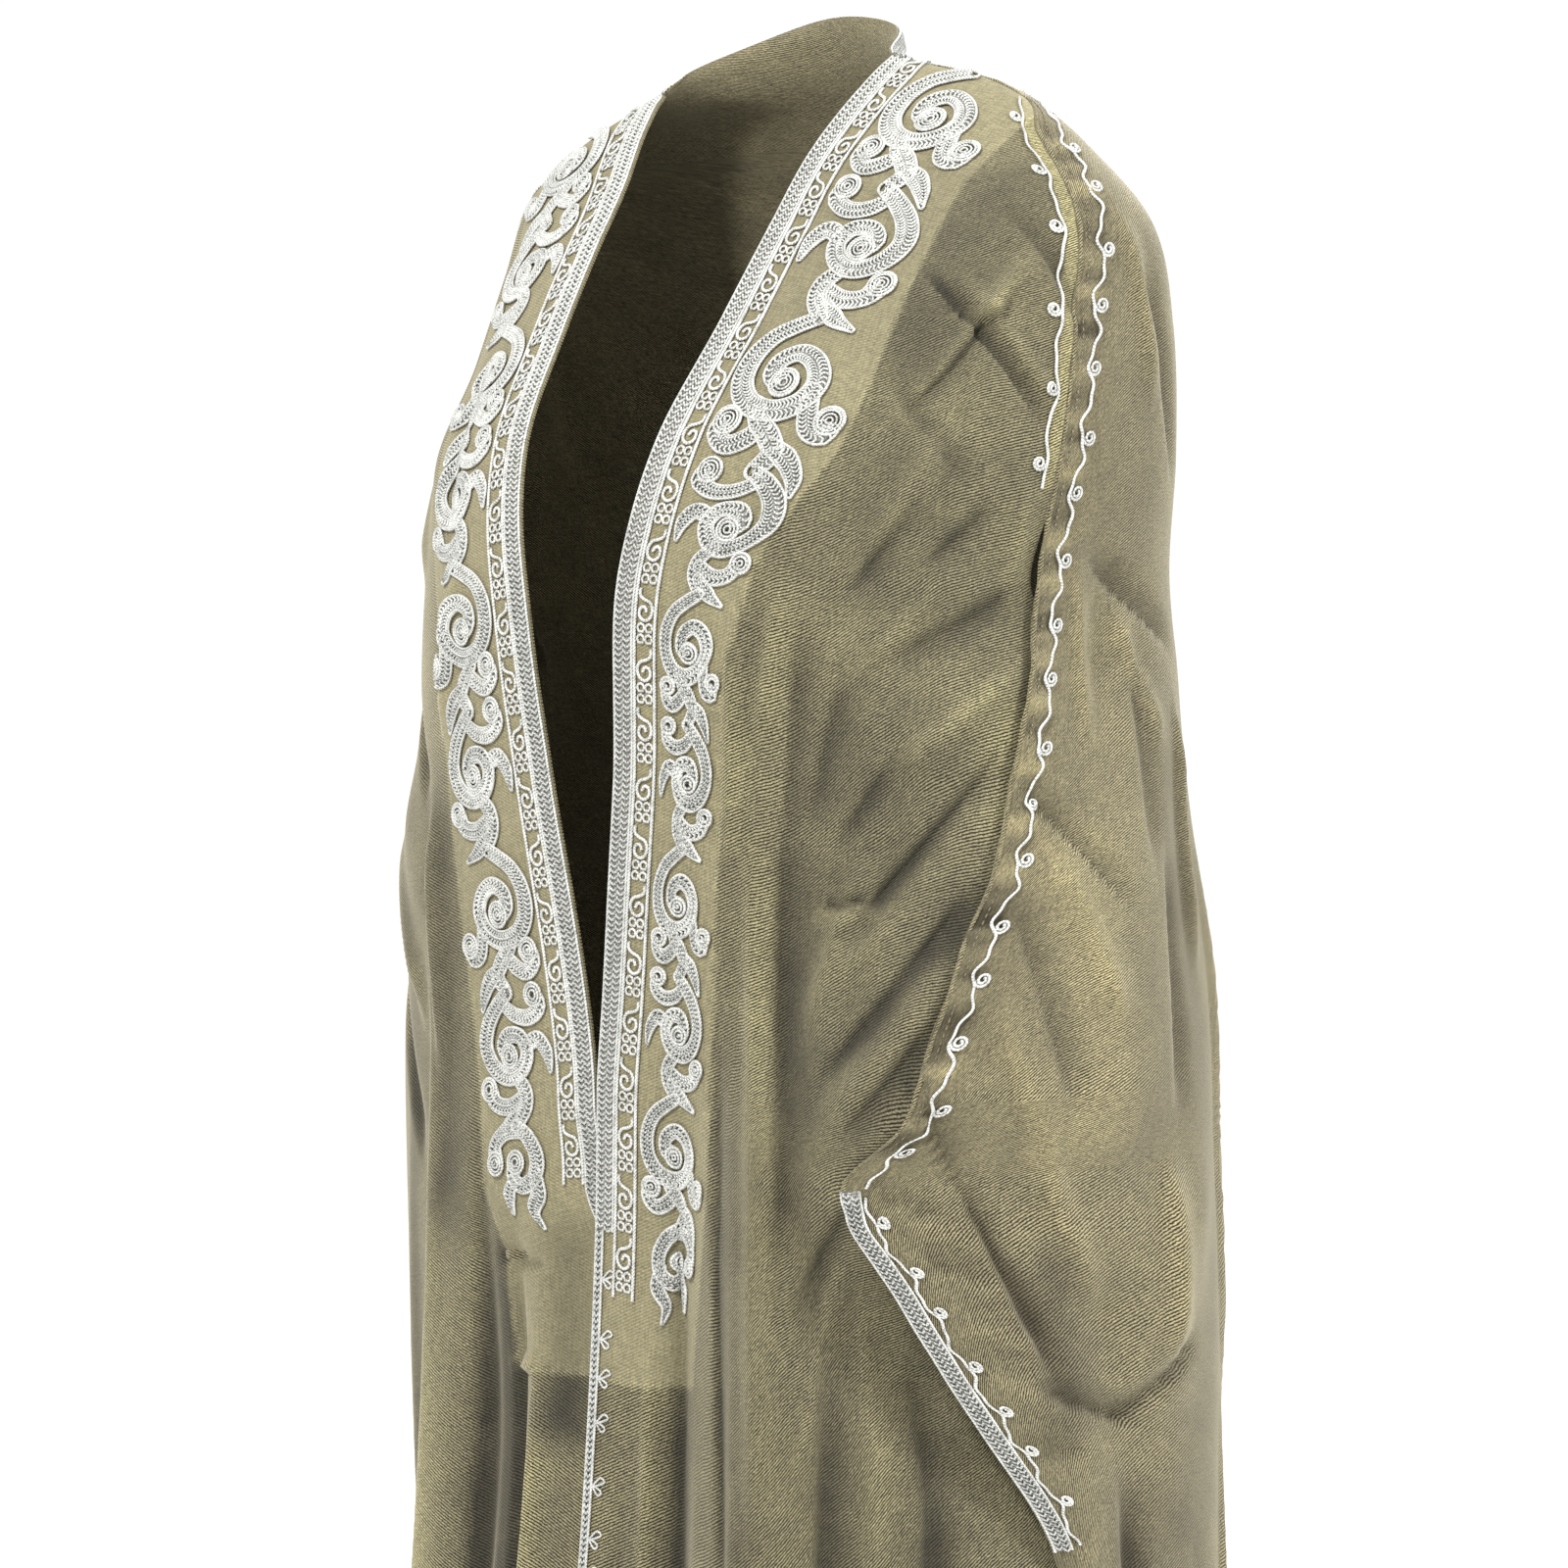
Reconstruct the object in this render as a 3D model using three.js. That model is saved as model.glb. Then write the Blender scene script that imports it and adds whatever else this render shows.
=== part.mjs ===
// A bisht: an open, ankle-length cloak of fine twill, with corded embroidery along its front edges.
// It keeps the hollow form it has when worn. Millimetres, +Z up, +X to the wearer's left, front to -Y.
// The origin lies between the two neck corners, level with them, where neck and shoulders carry it.
import * as THREE from 'three';

// ---------- driving sizes ----------
const CLOTH = 2.0; // wall of the single cloth
const FACING = 1.2; // wall of the doubled band inside each front edge
const FACING_WIDTH = 97;
const FACING_FOOT = -735; // level where the facings end
const BRAID = 1.2; // height of the edge braid
const BRAID_WIDTH = 14;
const BRAID_WIDTH_LOW = 6.5; // below the embroidery
const BRAID_NARROWS = -650; // level where the front braid turns narrow
const CUFF_BRAID_WIDTH = 11.5;
const SEAM_GAP = 0.3;
const HEM = -1400;
const NECK_RISE = 42; // the back of the neckline stands this much above its corners
const NECK_ROUND = 0.6; // under 1: it climbs most near its corners
const CREST_FOOT = -36; // level where the shoulder crest ends and the arm seam begins
const CUFF_TOP = -621;
const CUFF_FOOT = -810;

// Below the opening the right front runs on under the left one and lies inside it.
const LAP = 7;
const LAP_TOP = -585;
const LAP_DEPTH = 45; // the lap comes in over this much of the height
const LAP_WIDTH = 20;
const LAP_FLAT = 4; // the lap keeps its full depth this far in from the middle
const LAP_FADE = 60;

// Along the arm seam each front lies inside the sleeve edge, deeper at the hand opening.
const TUCK = 6;
const TUCK_TOP = -262; // the sleeve edge starts to fold over the seam here
const TUCK_FOOT = CUFF_FOOT - 100;
const TUCK_FADE = 40;
const UNDERLAP = 5; // degrees that a front runs on under the sleeve edge
const GAPE = 34;
const GAPE_MARGIN = 25; // the gape begins this far above the cuff and ends as far below it
const SEAM_FLAT = 4; // a front keeps its full depth this far beyond the seam
const SEAM_FADE = 70;
const DEGREE = Math.PI / 180;

// ---------- tables: a row for each level, from the neck down ----------
const rows = (columns, values) =>
  values.map((row) => Object.fromEntries(columns.map((name, i) => [name, row[i]])));

// Half widths to the wearer's left and right of the middle, depths before and behind the shoulder
// crest, and how square the section's corners are (2 is an ellipse).
const SECTIONS = rows(['level', 'left', 'right', 'front', 'back', 'square'], [
  [42, 78, 78, 2, 51, 2.0],
  [16, 81, 81, 2, 56, 2.0],
  [0, 87, 87, 3, 64, 2.0],
  [-8, 112, 112, 13, 70, 2.0],
  [-20, 150, 143, 24, 76, 2.0],
  [-36, 180, 170, 37, 84, 2.1],
  [-60, 208, 192, 54, 98, 2.2],
  [-104, 244, 197, 84, 122, 2.3],
  [-157, 250, 201, 118, 145, 2.35],
  [-226, 246, 206, 159, 163, 2.35],
  [-300, 237, 212, 173, 174, 2.35],
  [-411, 250, 227, 163, 182, 2.35],
  [-552, 256, 249, 152, 188, 2.35],
  [-700, 262, 246, 155, 196, 2.3],
  [-900, 262, 237, 172, 208, 2.25],
  [-1150, 274, 256, 198, 224, 2.2],
  [-1400, 298, 288, 226, 240, 2.15],
]);

// Half gap of the front opening, measured across from the middle.
const OPENING = rows(['level', 'gap'], [
  [0, 87], [-20, 81], [-62, 69], [-104, 66], [-157, 61], [-194, 56], [-226, 50], [-266, 42],
  [-312, 33], [-364, 28], [-411, 23], [-484, 12], [-552, 3], [-580, 0.6], [-650, 0.6], [-1400, 0.6],
]);

// Arm seam and the side below it, as angles round the body from the middle of the front.
const SIDE = rows(['level', 'left', 'right'], [
  [-36, 90, 90],
  [-60, 85, 88],
  [-146, 81, 86],
  [-288, 76.5, 86],
  [-361, 73, 86],
  [-460, 66, 86],
  [-524, 59, 86],
  [-587, 54.5, 86],
  [-621, 48, 86],
  [-680, 55, 88],
  [-745, 64, 91],
  [-810, 73, 94],
  [-900, 78, 92],
  [-1400, 82, 90],
]);

// Swell of the raised left forearm: its crown's angle, height and spread before and behind it.
const FOREARM = rows(['level', 'angle', 'height', 'before', 'behind'], [
  [-330, 72, 0, 12, 26],
  [-410, 70, 6, 11, 26],
  [-482, 63, 24, 10, 26],
  [-558, 57, 42, 9, 26],
  [-615, 51, 44, 10, 27],
  [-700, 56, 30, 14, 28],
  [-800, 66, 14, 18, 28],
  [-900, 70, 0, 20, 28],
]);

// Folds: a soft ridge (height above 0) or trough (below 0) along a straight line on the cloth.
const FOLDS = rows(
  ['angleTop', 'top', 'angleFoot', 'foot', 'halfWidth', 'height', 'fadeTop', 'fadeFoot'], [
  // left front: the standing column and the troughs beside it
  [38, -420, 33, -1400, 26, 16, 300, 1],
  [23, -430, 22, -1400, 15, -14, 300, 1],
  [50, -760, 47, -1400, 20, -12, 160, 1],
  [62, -820, 60, -1400, 24, 12, 180, 1],
  [10, -800, 9, -1400, 22, 8, 200, 1],
  // left front: pulls from the arm seam towards the opening
  [72, -100, 38, -245, 20, 7, 60, 90],
  [70, -330, 36, -500, 22, 8, 70, 120],
  [61, -470, 38, -660, 20, 8, 60, 120],
  [48, -540, 40, -690, 12, -7, 50, 90],
  // right front
  [-30, -600, -26, -1400, 22, -14, 200, 1],
  [-40, -560, -40, -1400, 20, 10, 260, 1],
  [-56, -640, -58, -1400, 24, -11, 240, 1],
  [-10, -850, -11, -1400, 20, 8, 200, 1],
  [-70, -160, -34, -300, 22, 6, 70, 110],
  [-74, -360, -40, -560, 22, 7, 80, 130],
  [-74, -900, -74, -1400, 22, 10, 240, 1],
  // left sleeve and side
  [92, -270, 78, -470, 20, -8, 80, 130],
  [112, -330, 96, -600, 26, -10, 110, 150],
  [100, -560, 84, -780, 22, 9, 90, 140],
  [76, -640, 88, -860, 18, -9, 60, 100],
  [92, -860, 90, -1400, 26, -14, 220, 1],
  [106, -760, 104, -1400, 26, 13, 280, 1],
  // back
  [124, -500, 120, -1400, 26, -14, 320, 1],
  [140, -420, 136, -1400, 28, 13, 340, 1],
  [157, -560, 154, -1400, 24, -13, 320, 1],
  [173, -480, 172, -1400, 28, 12, 360, 1],
  [-170, -620, -171, -1400, 24, -12, 300, 1],
  [-154, -460, -155, -1400, 28, 13, 360, 1],
  [-138, -560, -138, -1400, 24, -13, 300, 1],
  [-122, -480, -123, -1400, 28, 13, 340, 1],
  [130, -150, 165, -330, 26, 5, 90, 140],
  [-130, -170, -164, -350, 26, 5, 90, 140],
  // right sleeve and side
  [-96, -300, -84, -520, 22, -8, 90, 140],
  [-108, -520, -106, -1400, 26, -12, 300, 1],
  [-92, -860, -92, -1400, 24, 11, 240, 1],
]);

// ---------- small tools ----------
const clamp01 = (t) => Math.min(1, Math.max(0, t));
const smooth = (t) => { const c = clamp01(t); return c * c * (3 - 2 * c); };
const mix = (a, b, t) => a + (b - a) * t;
const bell = (t) => Math.exp(-0.5 * t * t);

// Value of a table's column at a level, on a smooth curve through its rows.
function read(table, column, level) {
  const last = table.length - 1;
  if (level >= table[0].level) return table[0][column];
  if (level <= table[last].level) return table[last][column];
  let i = 0;
  while (table[i + 1].level > level) i++;
  const slope = (k) => {
    const a = table[Math.max(0, k - 1)], b = table[Math.min(last, k + 1)];
    return (b[column] - a[column]) / (b.level - a.level);
  };
  const span = table[i + 1].level - table[i].level;
  const t = (level - table[i].level) / span;
  const t2 = t * t, t3 = t2 * t;
  return table[i][column] * (2 * t3 - 3 * t2 + 1) + table[i + 1][column] * (3 * t2 - 2 * t3)
    + slope(i) * span * (t3 - 2 * t2 + t) + slope(i + 1) * span * (t3 - t2);
}

// ---------- the worn form ----------
// Distance of the cloth from the upright axis, at an angle round the body and a level.
function plainRadius(angle, level) {
  const s = Math.abs(Math.sin(angle * DEGREE)), c = Math.cos(angle * DEGREE);
  const half = read(SECTIONS, Math.sin(angle * DEGREE) >= 0 ? 'left' : 'right', level);
  const depth = read(SECTIONS, c >= 0 ? 'front' : 'back', level);
  const n = read(SECTIONS, 'square', level);
  return ((s / half) ** n + (Math.abs(c) / depth) ** n) ** (-1 / n);
}

function foldHeight(angle, level) {
  const perDegree = plainRadius(angle, Math.min(level, -200)) * DEGREE;
  let height = 0;
  for (const fold of FOLDS) {
    const along = (fold.top - level) / (fold.top - fold.foot);
    let turn = angle - mix(fold.angleTop, fold.angleFoot, clamp01(along));
    turn -= 360 * Math.round(turn / 360);
    const slant = Math.atan2((fold.angleFoot - fold.angleTop) * perDegree, fold.top - fold.foot);
    const across = turn * perDegree * Math.cos(slant);
    if (Math.abs(across) > 4 * fold.halfWidth) continue;
    const begin = smooth((fold.top - level) / fold.fadeTop);
    const end = smooth((level - fold.foot) / fold.fadeFoot);
    height += fold.height * bell(across / fold.halfWidth) * begin * (fold.foot <= HEM ? 1 : end);
  }
  return height;
}

function forearmHeight(angle, level) {
  const turn = angle - read(FOREARM, 'angle', level);
  if (Math.abs(turn) > 150) return 0;
  const spread = read(FOREARM, turn < 0 ? 'before' : 'behind', level);
  return Math.max(0, read(FOREARM, 'height', level)) * bell(turn / spread);
}

const clothRadius = (angle, level) =>
  plainRadius(angle, level) + foldHeight(angle, level) + forearmHeight(angle, level);

// Angle of a front's edge at a level. hand is 1 for the wearer's left and -1 for the right.
function edgeAngle(hand, level) {
  const gap = edgeGap(hand, level);
  let low = -30, high = 90;
  for (let i = 0; i < 30; i++) {
    const mid = (low + high) / 2;
    if (plainRadius(hand * mid, level) * Math.sin(mid * DEGREE) < gap) low = mid;
    else high = mid;
  }
  return (low + high) / 2;
}

const lapShare = (level) => smooth((LAP_TOP - level) / LAP_DEPTH);
const lapReach = (level) => smooth((LAP_TOP - LAP_DEPTH - level) / LAP_DEPTH);
function edgeGap(hand, level) {
  const gap = read(OPENING, 'gap', level);
  return hand > 0 ? gap : gap - LAP_WIDTH * lapReach(level);
}

const sideAngle = (hand, level) => read(SIDE, hand > 0 ? 'left' : 'right', level);

// How far a front lies inside the common form: under the other front, and under the sleeve edge,
// where the hand opening gapes too.
function tuckShare(level, late = 0) {
  return smooth((TUCK_TOP - late - level) / TUCK_FADE)
    * smooth((level - TUCK_FOOT - late) / TUCK_FADE);
}
function frontSink(hand, angle, level) {
  const perDegree = plainRadius(hand * angle, level) * DEGREE;
  const fromMiddle = angle * perDegree - LAP_FLAT;
  const lap = hand < 0 ? LAP * lapShare(level) * (1 - smooth(fromMiddle / LAP_FADE)) : 0;
  const fromSide = (sideAngle(hand, level) - angle) * perDegree + SEAM_FLAT;
  const near = 1 - smooth(fromSide / SEAM_FADE);
  const mouth = (CUFF_TOP + GAPE_MARGIN - level) / (CUFF_TOP - CUFF_FOOT + 2 * GAPE_MARGIN);
  const gape = GAPE * Math.sin(Math.PI * clamp01(mouth)) ** 2;
  return lap + near * (TUCK * tuckShare(level) + gape);
}

// ---------- sheets: grids of points, a row for each step down the cloth ----------
const DOWN_STEPS = 32;
const CREST_STEPS = 4;
const down = (t) => Math.pow(t, 1.25);
// Columns in from a front's edge: two for the braid, then to the end of the doubled band.
const EDGE_COLUMNS = [0, BRAID_WIDTH / 2, BRAID_WIDTH, 31, 53, 75, FACING_WIDTH];
const PLAIN_COLUMNS = 9; // from there to the arm seam
const BACK_COLUMNS = 39;
const BACK_ROUND = 940; // the way round the back at the cuffs
const CREST_SHARE = 0.85; // the most of a short row that the embroidered columns take

const place = (angle, level, radius) =>
  new THREE.Vector3(radius * Math.sin(angle * DEGREE), -radius * Math.cos(angle * DEGREE), level);

function frontPoint(hand, across, t) {
  const edge = { level: mix(0, HEM, down(t)) };
  const side = { level: mix(CREST_FOOT, HEM, down(t)) };
  edge.angle = t === 0 ? 90 : edgeAngle(hand, edge.level);
  const perDegree = plainRadius(90 * hand, side.level) * DEGREE;
  side.angle = sideAngle(hand, side.level) + UNDERLAP * tuckShare(side.level, TUCK_FADE)
    - 2 * SEAM_GAP / perDegree * (t > 0);
  const level = mix(edge.level, side.level, across);
  const angle = mix(edge.angle, side.angle, across);
  const radius = clothRadius(hand * angle, level) - frontSink(hand, angle, level);
  const point = place(hand * angle, level, radius);
  if (t === 0) point.y -= SEAM_GAP / 2;
  return point;
}

// A front's row has columns at the same distances from its edge all the way down.
function frontGrid(hand) {
  const SAMPLES = 80;
  const grid = [];
  for (let j = 0; j <= DOWN_STEPS; j++) {
    const t = j / DOWN_STEPS;
    const run = [0];
    let last = frontPoint(hand, 0, t);
    for (let k = 1; k <= SAMPLES; k++) {
      const next = frontPoint(hand, k / SAMPLES, t);
      run.push(run[k - 1] + next.distanceTo(last));
      last = next;
    }
    const length = run[SAMPLES];
    const scale = Math.min(1, CREST_SHARE * length / FACING_WIDTH);
    const marks = EDGE_COLUMNS.map((d) => d * scale);
    for (let i = 1; i <= PLAIN_COLUMNS; i++) {
      marks.push(mix(FACING_WIDTH * scale, length, i / PLAIN_COLUMNS));
    }
    grid.push(marks.map((mark) => {
      let k = 1;
      while (k < SAMPLES && run[k] < mark) k++;
      const share = (mark - run[k - 1]) / (run[k] - run[k - 1]);
      return frontPoint(hand, Math.min(1, (k - 1 + share) / SAMPLES), t);
    }));
  }
  return grid;
}

// The back's rows begin on the neckline; the second row is the lower edge of the neck braid.
const CREST_ROWS = rows(['level', 'rise'], [[0, 1], [-4, 0.77], [-12, 0.57], [-24, 0.52]]);
const LOW_RISE = 0.28;

function backGrid() {
  const lines = CREST_ROWS.map(({ level, rise }) => ({ level, rise }));
  for (let j = 0; j <= DOWN_STEPS; j++) {
    const level = mix(CREST_FOOT, HEM, down(j / DOWN_STEPS));
    lines.push({ level, rise: LOW_RISE * (1 - level / HEM) });
  }
  return lines.map((line) => {
    const onCrest = line.level >= CREST_FOOT;
    const left = onCrest ? 90 : sideAngle(1, line.level);
    const right = 360 - (onCrest ? 90 : sideAngle(-1, line.level));
    return backShares().map((across) => {
      const level = line.level + NECK_RISE * line.rise * Math.sin(Math.PI * across) ** NECK_ROUND;
      const angle = mix(left, right, across);
      const point = place(angle, level, clothRadius(angle, level));
      if (onCrest && (across === 0 || across === 1)) point.y += SEAM_GAP / 2;
      return point;
    });
  });
}

// Shares of the way round the back: even, with a column more for the cuff braid at each end.
function backShares() {
  const braid = CUFF_BRAID_WIDTH / BACK_ROUND;
  const even = Array.from({ length: BACK_COLUMNS - 3 }, (_, i) => (i + 1) / (BACK_COLUMNS - 2));
  return [0, braid, ...even, 1 - braid, 1];
}

// ---------- walls ----------
// Outward normals of a grid. A rim on the shoulder crest leans neither forward nor back, so that
// the two panels that meet there stay face to face.
function gridNormals(grid) {
  const normals = grid.map((row) => row.map(() => new THREE.Vector3()));
  for (let j = 0; j + 1 < grid.length; j++) {
    for (let i = 0; i + 1 < grid[j].length; i++) {
      const one = new THREE.Vector3().subVectors(grid[j + 1][i + 1], grid[j][i]);
      const two = new THREE.Vector3().subVectors(grid[j + 1][i], grid[j][i + 1]);
      const normal = one.cross(two);
      for (const [a, b] of [[j, i], [j, i + 1], [j + 1, i], [j + 1, i + 1]]) normals[a][b].add(normal);
    }
  }
  const j = grid.length >> 1, i = grid[0].length >> 1;
  const sign = normals[j][i].x * grid[j][i].x + normals[j][i].y * grid[j][i].y > 0 ? 1 : -1;
  grid.forEach((row, a) => row.forEach((p, b) => {
    const normal = normals[a][b];
    if (Math.abs(p.y) < SEAM_GAP && p.z > CREST_FOOT - 1) normal.y = 0;
    normal.normalize().multiplyScalar(sign);
  }));
  return normals;
}

// A closed wall between two layers of a grid, each so far out from the grid's own face.
function wall(grid, normals, outerLift, innerLift) {
  const width = grid[0].length, height = grid.length, count = width * height;
  const positions = [];
  for (const lift of [outerLift, innerLift]) {
    grid.forEach((row, j) => row.forEach((p, i) => {
      const q = p.clone().addScaledVector(normals[j][i], lift);
      positions.push(q.x, q.y, q.z);
    }));
  }
  const id = (i, j) => j * width + i;
  const faces = [];
  const quad = (a, b, c, d) => faces.push(a, b, c, a, c, d);
  for (let j = 0; j + 1 < height; j++) {
    for (let i = 0; i + 1 < width; i++) {
      const [a, b, c, d] = [id(i, j), id(i + 1, j), id(i + 1, j + 1), id(i, j + 1)];
      quad(a, d, c, b);
      faces.push(a + count, b + count, c + count, a + count, c + count, d + count);
    }
  }
  const rim = (a, b) => quad(a, b, b + count, a + count);
  for (let i = 0; i + 1 < width; i++) {
    rim(id(i, 0), id(i + 1, 0));
    rim(id(i + 1, height - 1), id(i, height - 1));
  }
  for (let j = 0; j + 1 < height; j++) {
    rim(id(0, j + 1), id(0, j));
    rim(id(width - 1, j), id(width - 1, j + 1));
  }
  const geometry = new THREE.BufferGeometry();
  geometry.setAttribute('position', new THREE.Float32BufferAttribute(positions, 3));
  geometry.setIndex(volume(positions, faces) < 0 ? faces.reverse() : faces);
  geometry.computeVertexNormals();
  return geometry;
}

function volume(positions, faces) {
  const corner = (k) => new THREE.Vector3().fromArray(positions, 3 * k);
  let six = 0;
  for (let k = 0; k < faces.length; k += 3) {
    six += corner(faces[k]).dot(corner(faces[k + 1]).cross(corner(faces[k + 2])));
  }
  return six / 6;
}

// ---------- pieces ----------
const group = new THREE.Group();
const CLOTH_FINISH = { color: 0xa39a7c, roughness: 0.85, metalness: 0 };
const FACING_FINISH = { color: 0xaca378, roughness: 0.8, metalness: 0 };
const CORD_FINISH = { color: 0xdcdcd8, roughness: 0.55, metalness: 0.1 };

function add(name, geometry, finish) {
  const mesh = new THREE.Mesh(geometry, new THREE.MeshStandardMaterial(finish));
  mesh.name = name;
  group.add(mesh);
}

const backPanel = { grid: backGrid() };
backPanel.normals = gridNormals(backPanel.grid);
const SIDES = [['left', 1], ['right', -1]];
const fronts = {};
for (const [side, hand] of SIDES) {
  const grid = frontGrid(hand);
  fronts[side] = { grid, normals: gridNormals(grid) };
  joinNormals(fronts[side], hand > 0 ? 0 : BACK_COLUMNS);
}

// Where a front and the back meet edge to edge, their rims share one direction.
function joinNormals(front, backColumn) {
  const last = front.grid[0].length - 1;
  for (let j = 0; j <= DOWN_STEPS; j++) {
    const row = j + CREST_STEPS;
    if (front.grid[j][last].distanceTo(backPanel.grid[row][backColumn]) > 4 * SEAM_GAP) continue;
    const own = front.normals[j][last], other = backPanel.normals[row][backColumn];
    own.add(other).normalize();
    other.copy(own);
  }
}

// A strip made from a panel's own points: each of its rows or columns is a point between two of the
// panel's, with the normal that the panel has there.
function between(panel, [rowA, columnA], [rowB, columnB], share) {
  return {
    point: panel.grid[rowA][columnA].clone().lerp(panel.grid[rowB][columnB], share),
    normal: panel.normals[rowA][columnA].clone()
      .lerp(panel.normals[rowB][columnB], share).normalize(),
  };
}

function stripWall(cells, outerLift, innerLift) {
  const grid = cells.map((row) => row.map((cell) => cell.point));
  const normals = cells.map((row) => row.map((cell) => cell.normal));
  return wall(grid, normals, outerLift, innerLift);
}

const span = (from, to) => Array.from({ length: to - from + 1 }, (_, i) => from + i);

// Two columns of the front's edge for the broad braid, one for the narrow braid below it.
function frontBraid(front) {
  return stripWall(span(0, DOWN_STEPS).map((j) => {
    const broad = front.grid[j][0].z >= BRAID_NARROWS;
    const step = broad ? 1 : BRAID_WIDTH_LOW / BRAID_WIDTH;
    return [0, 1, 2].map((k) => between(front, [j, Math.floor(k * step)],
      [j, Math.floor(k * step) + 1], k * step - Math.floor(k * step)));
  }), SEAM_GAP + BRAID, SEAM_GAP);
}

const onPanel = (panel, rowList, columnList) =>
  rowList.map((j) => columnList.map((i) => between(panel, [j, i], [j, i], 0)));

const neckBraid = () =>
  stripWall(onPanel(backPanel, [0, 1], span(0, BACK_COLUMNS)), SEAM_GAP + BRAID, SEAM_GAP);

const CUFF_MARGIN = 15; // a cuff braid may end this far from the cuff's own levels

function cuffBraid(hand) {
  const columns = hand > 0 ? [0, 1] : [BACK_COLUMNS - 1, BACK_COLUMNS];
  const cuffRows = span(0, backPanel.grid.length - 1).filter((j) => {
    const { z } = backPanel.grid[j][columns[0]];
    return z < CUFF_TOP + CUFF_MARGIN && z > CUFF_FOOT - CUFF_MARGIN;
  });
  return stripWall(onPanel(backPanel, cuffRows, columns), SEAM_GAP + BRAID, SEAM_GAP);
}

// The band inside a front's edge, as broad as the embroidery on the outside.
function frontFacing(front) {
  const rowsOfBand = span(0, DOWN_STEPS).filter((j) => front.grid[j][0].z >= FACING_FOOT);
  return stripWall(onPanel(front, rowsOfBand, span(0, EDGE_COLUMNS.length - 1)),
    -CLOTH - SEAM_GAP, -CLOTH - SEAM_GAP - FACING);
}

for (const [side, hand] of SIDES) {
  const front = fronts[side];
  add(`front_${side}`, wall(front.grid, front.normals, 0, -CLOTH), CLOTH_FINISH);
  add(`facing_${side}`, frontFacing(front), FACING_FINISH);
  add(`braid_${side}`, frontBraid(front), CORD_FINISH);
  add(`cuff_${side}`, cuffBraid(hand), CORD_FINISH);
}
add('back', wall(backPanel.grid, backPanel.normals, 0, -CLOTH), CLOTH_FINISH);
add('braid_neck', neckBraid(), CORD_FINISH);

export default group;
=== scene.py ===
# A bisht: an open cloak of light twill with silver corded embroidery, in the hollow form that it
# has when worn. The cut and its folds are worked out in millimetres; meshes are written in metres.
import math

import bpy
import numpy as np
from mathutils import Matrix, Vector


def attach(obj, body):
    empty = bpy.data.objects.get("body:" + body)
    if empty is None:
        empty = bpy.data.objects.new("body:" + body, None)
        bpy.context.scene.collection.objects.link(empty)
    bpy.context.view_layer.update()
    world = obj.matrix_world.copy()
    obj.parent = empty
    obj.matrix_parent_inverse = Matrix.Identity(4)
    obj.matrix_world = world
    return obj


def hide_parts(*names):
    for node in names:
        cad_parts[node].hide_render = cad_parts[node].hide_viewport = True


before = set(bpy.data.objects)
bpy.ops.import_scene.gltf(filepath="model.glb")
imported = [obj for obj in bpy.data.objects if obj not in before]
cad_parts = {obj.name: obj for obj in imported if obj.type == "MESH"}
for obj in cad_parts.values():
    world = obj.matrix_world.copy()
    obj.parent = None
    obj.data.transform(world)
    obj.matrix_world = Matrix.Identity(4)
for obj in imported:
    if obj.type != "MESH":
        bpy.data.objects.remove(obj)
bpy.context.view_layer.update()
MM = 0.001


def table(columns, rows):
    """A table with named columns and a row for each level, fold or crease."""
    return {name: np.array([row[i] for row in rows], float)
            for i, name in enumerate(columns.split())}


# ---------- sizes of the cut ----------
# Levels are heights from the neck corner, so they are mostly negative. Angles in degrees go round
# the body from its front middle, positive towards the wearer's left.
CLOTH = 0.7  # the twill with its nap
FACING, FACING_GAP, FACING_FOOT = 0.6, 0.3, -740
HEM = -1400
NECK_RISE, NECK_ROUND = 42, 0.6
CREST_FOOT = -36  # the shoulder crest ends here, and the arm seam begins
CUFF_TOP, CUFF_FOOT = -621, -810
SEAM_GAP = 0.05  # the sewn seam shows no light between its pieces
STRIP = 23  # felled down beside the arm seam
LAP, LAP_TOP, LAP_DEPTH, LAP_WIDTH = 7, -585, 45, 20
TUCK, TUCK_TOP, TUCK_FADE = 6, -262, 40
TUCK_FOOT = CUFF_FOOT - 100
UNDERLAP = 5  # degrees that a front reaches on under the sleeve edge
GAPE = 34  # of the hand opening, at its widest
EMBROIDERED, CREST_SHARE = 97, 0.85  # a short row on the crest is embroidered to this share

SECTIONS = table("level left right front back square", [
    [42, 78, 78, 2, 51, 2], [16, 81, 81, 2, 56, 2], [0, 87, 87, 3, 64, 2],
    [-8, 112, 112, 13, 70, 2], [-20, 150, 143, 24, 76, 2], [-36, 180, 170, 37, 84, 2.1],
    [-60, 208, 192, 54, 98, 2.2], [-104, 244, 197, 84, 122, 2.3], [-157, 250, 201, 118, 145, 2.35],
    [-226, 246, 206, 159, 163, 2.35], [-300, 237, 212, 173, 174, 2.35],
    [-411, 250, 227, 163, 182, 2.35], [-552, 256, 249, 152, 188, 2.35],
    [-700, 262, 246, 155, 196, 2.3], [-900, 262, 237, 172, 208, 2.25],
    [-1150, 274, 256, 198, 224, 2.2], [-1400, 298, 288, 226, 240, 2.15],
])
OPENING = table("level gap", [
    [0, 87], [-20, 81], [-62, 69], [-104, 66], [-157, 61], [-194, 56], [-226, 50], [-266, 42],
    [-312, 33], [-364, 28], [-411, 23], [-484, 12], [-552, 3], [-580, 0.6], [-650, 0.6],
    [-1400, 0.6],
])
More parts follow.
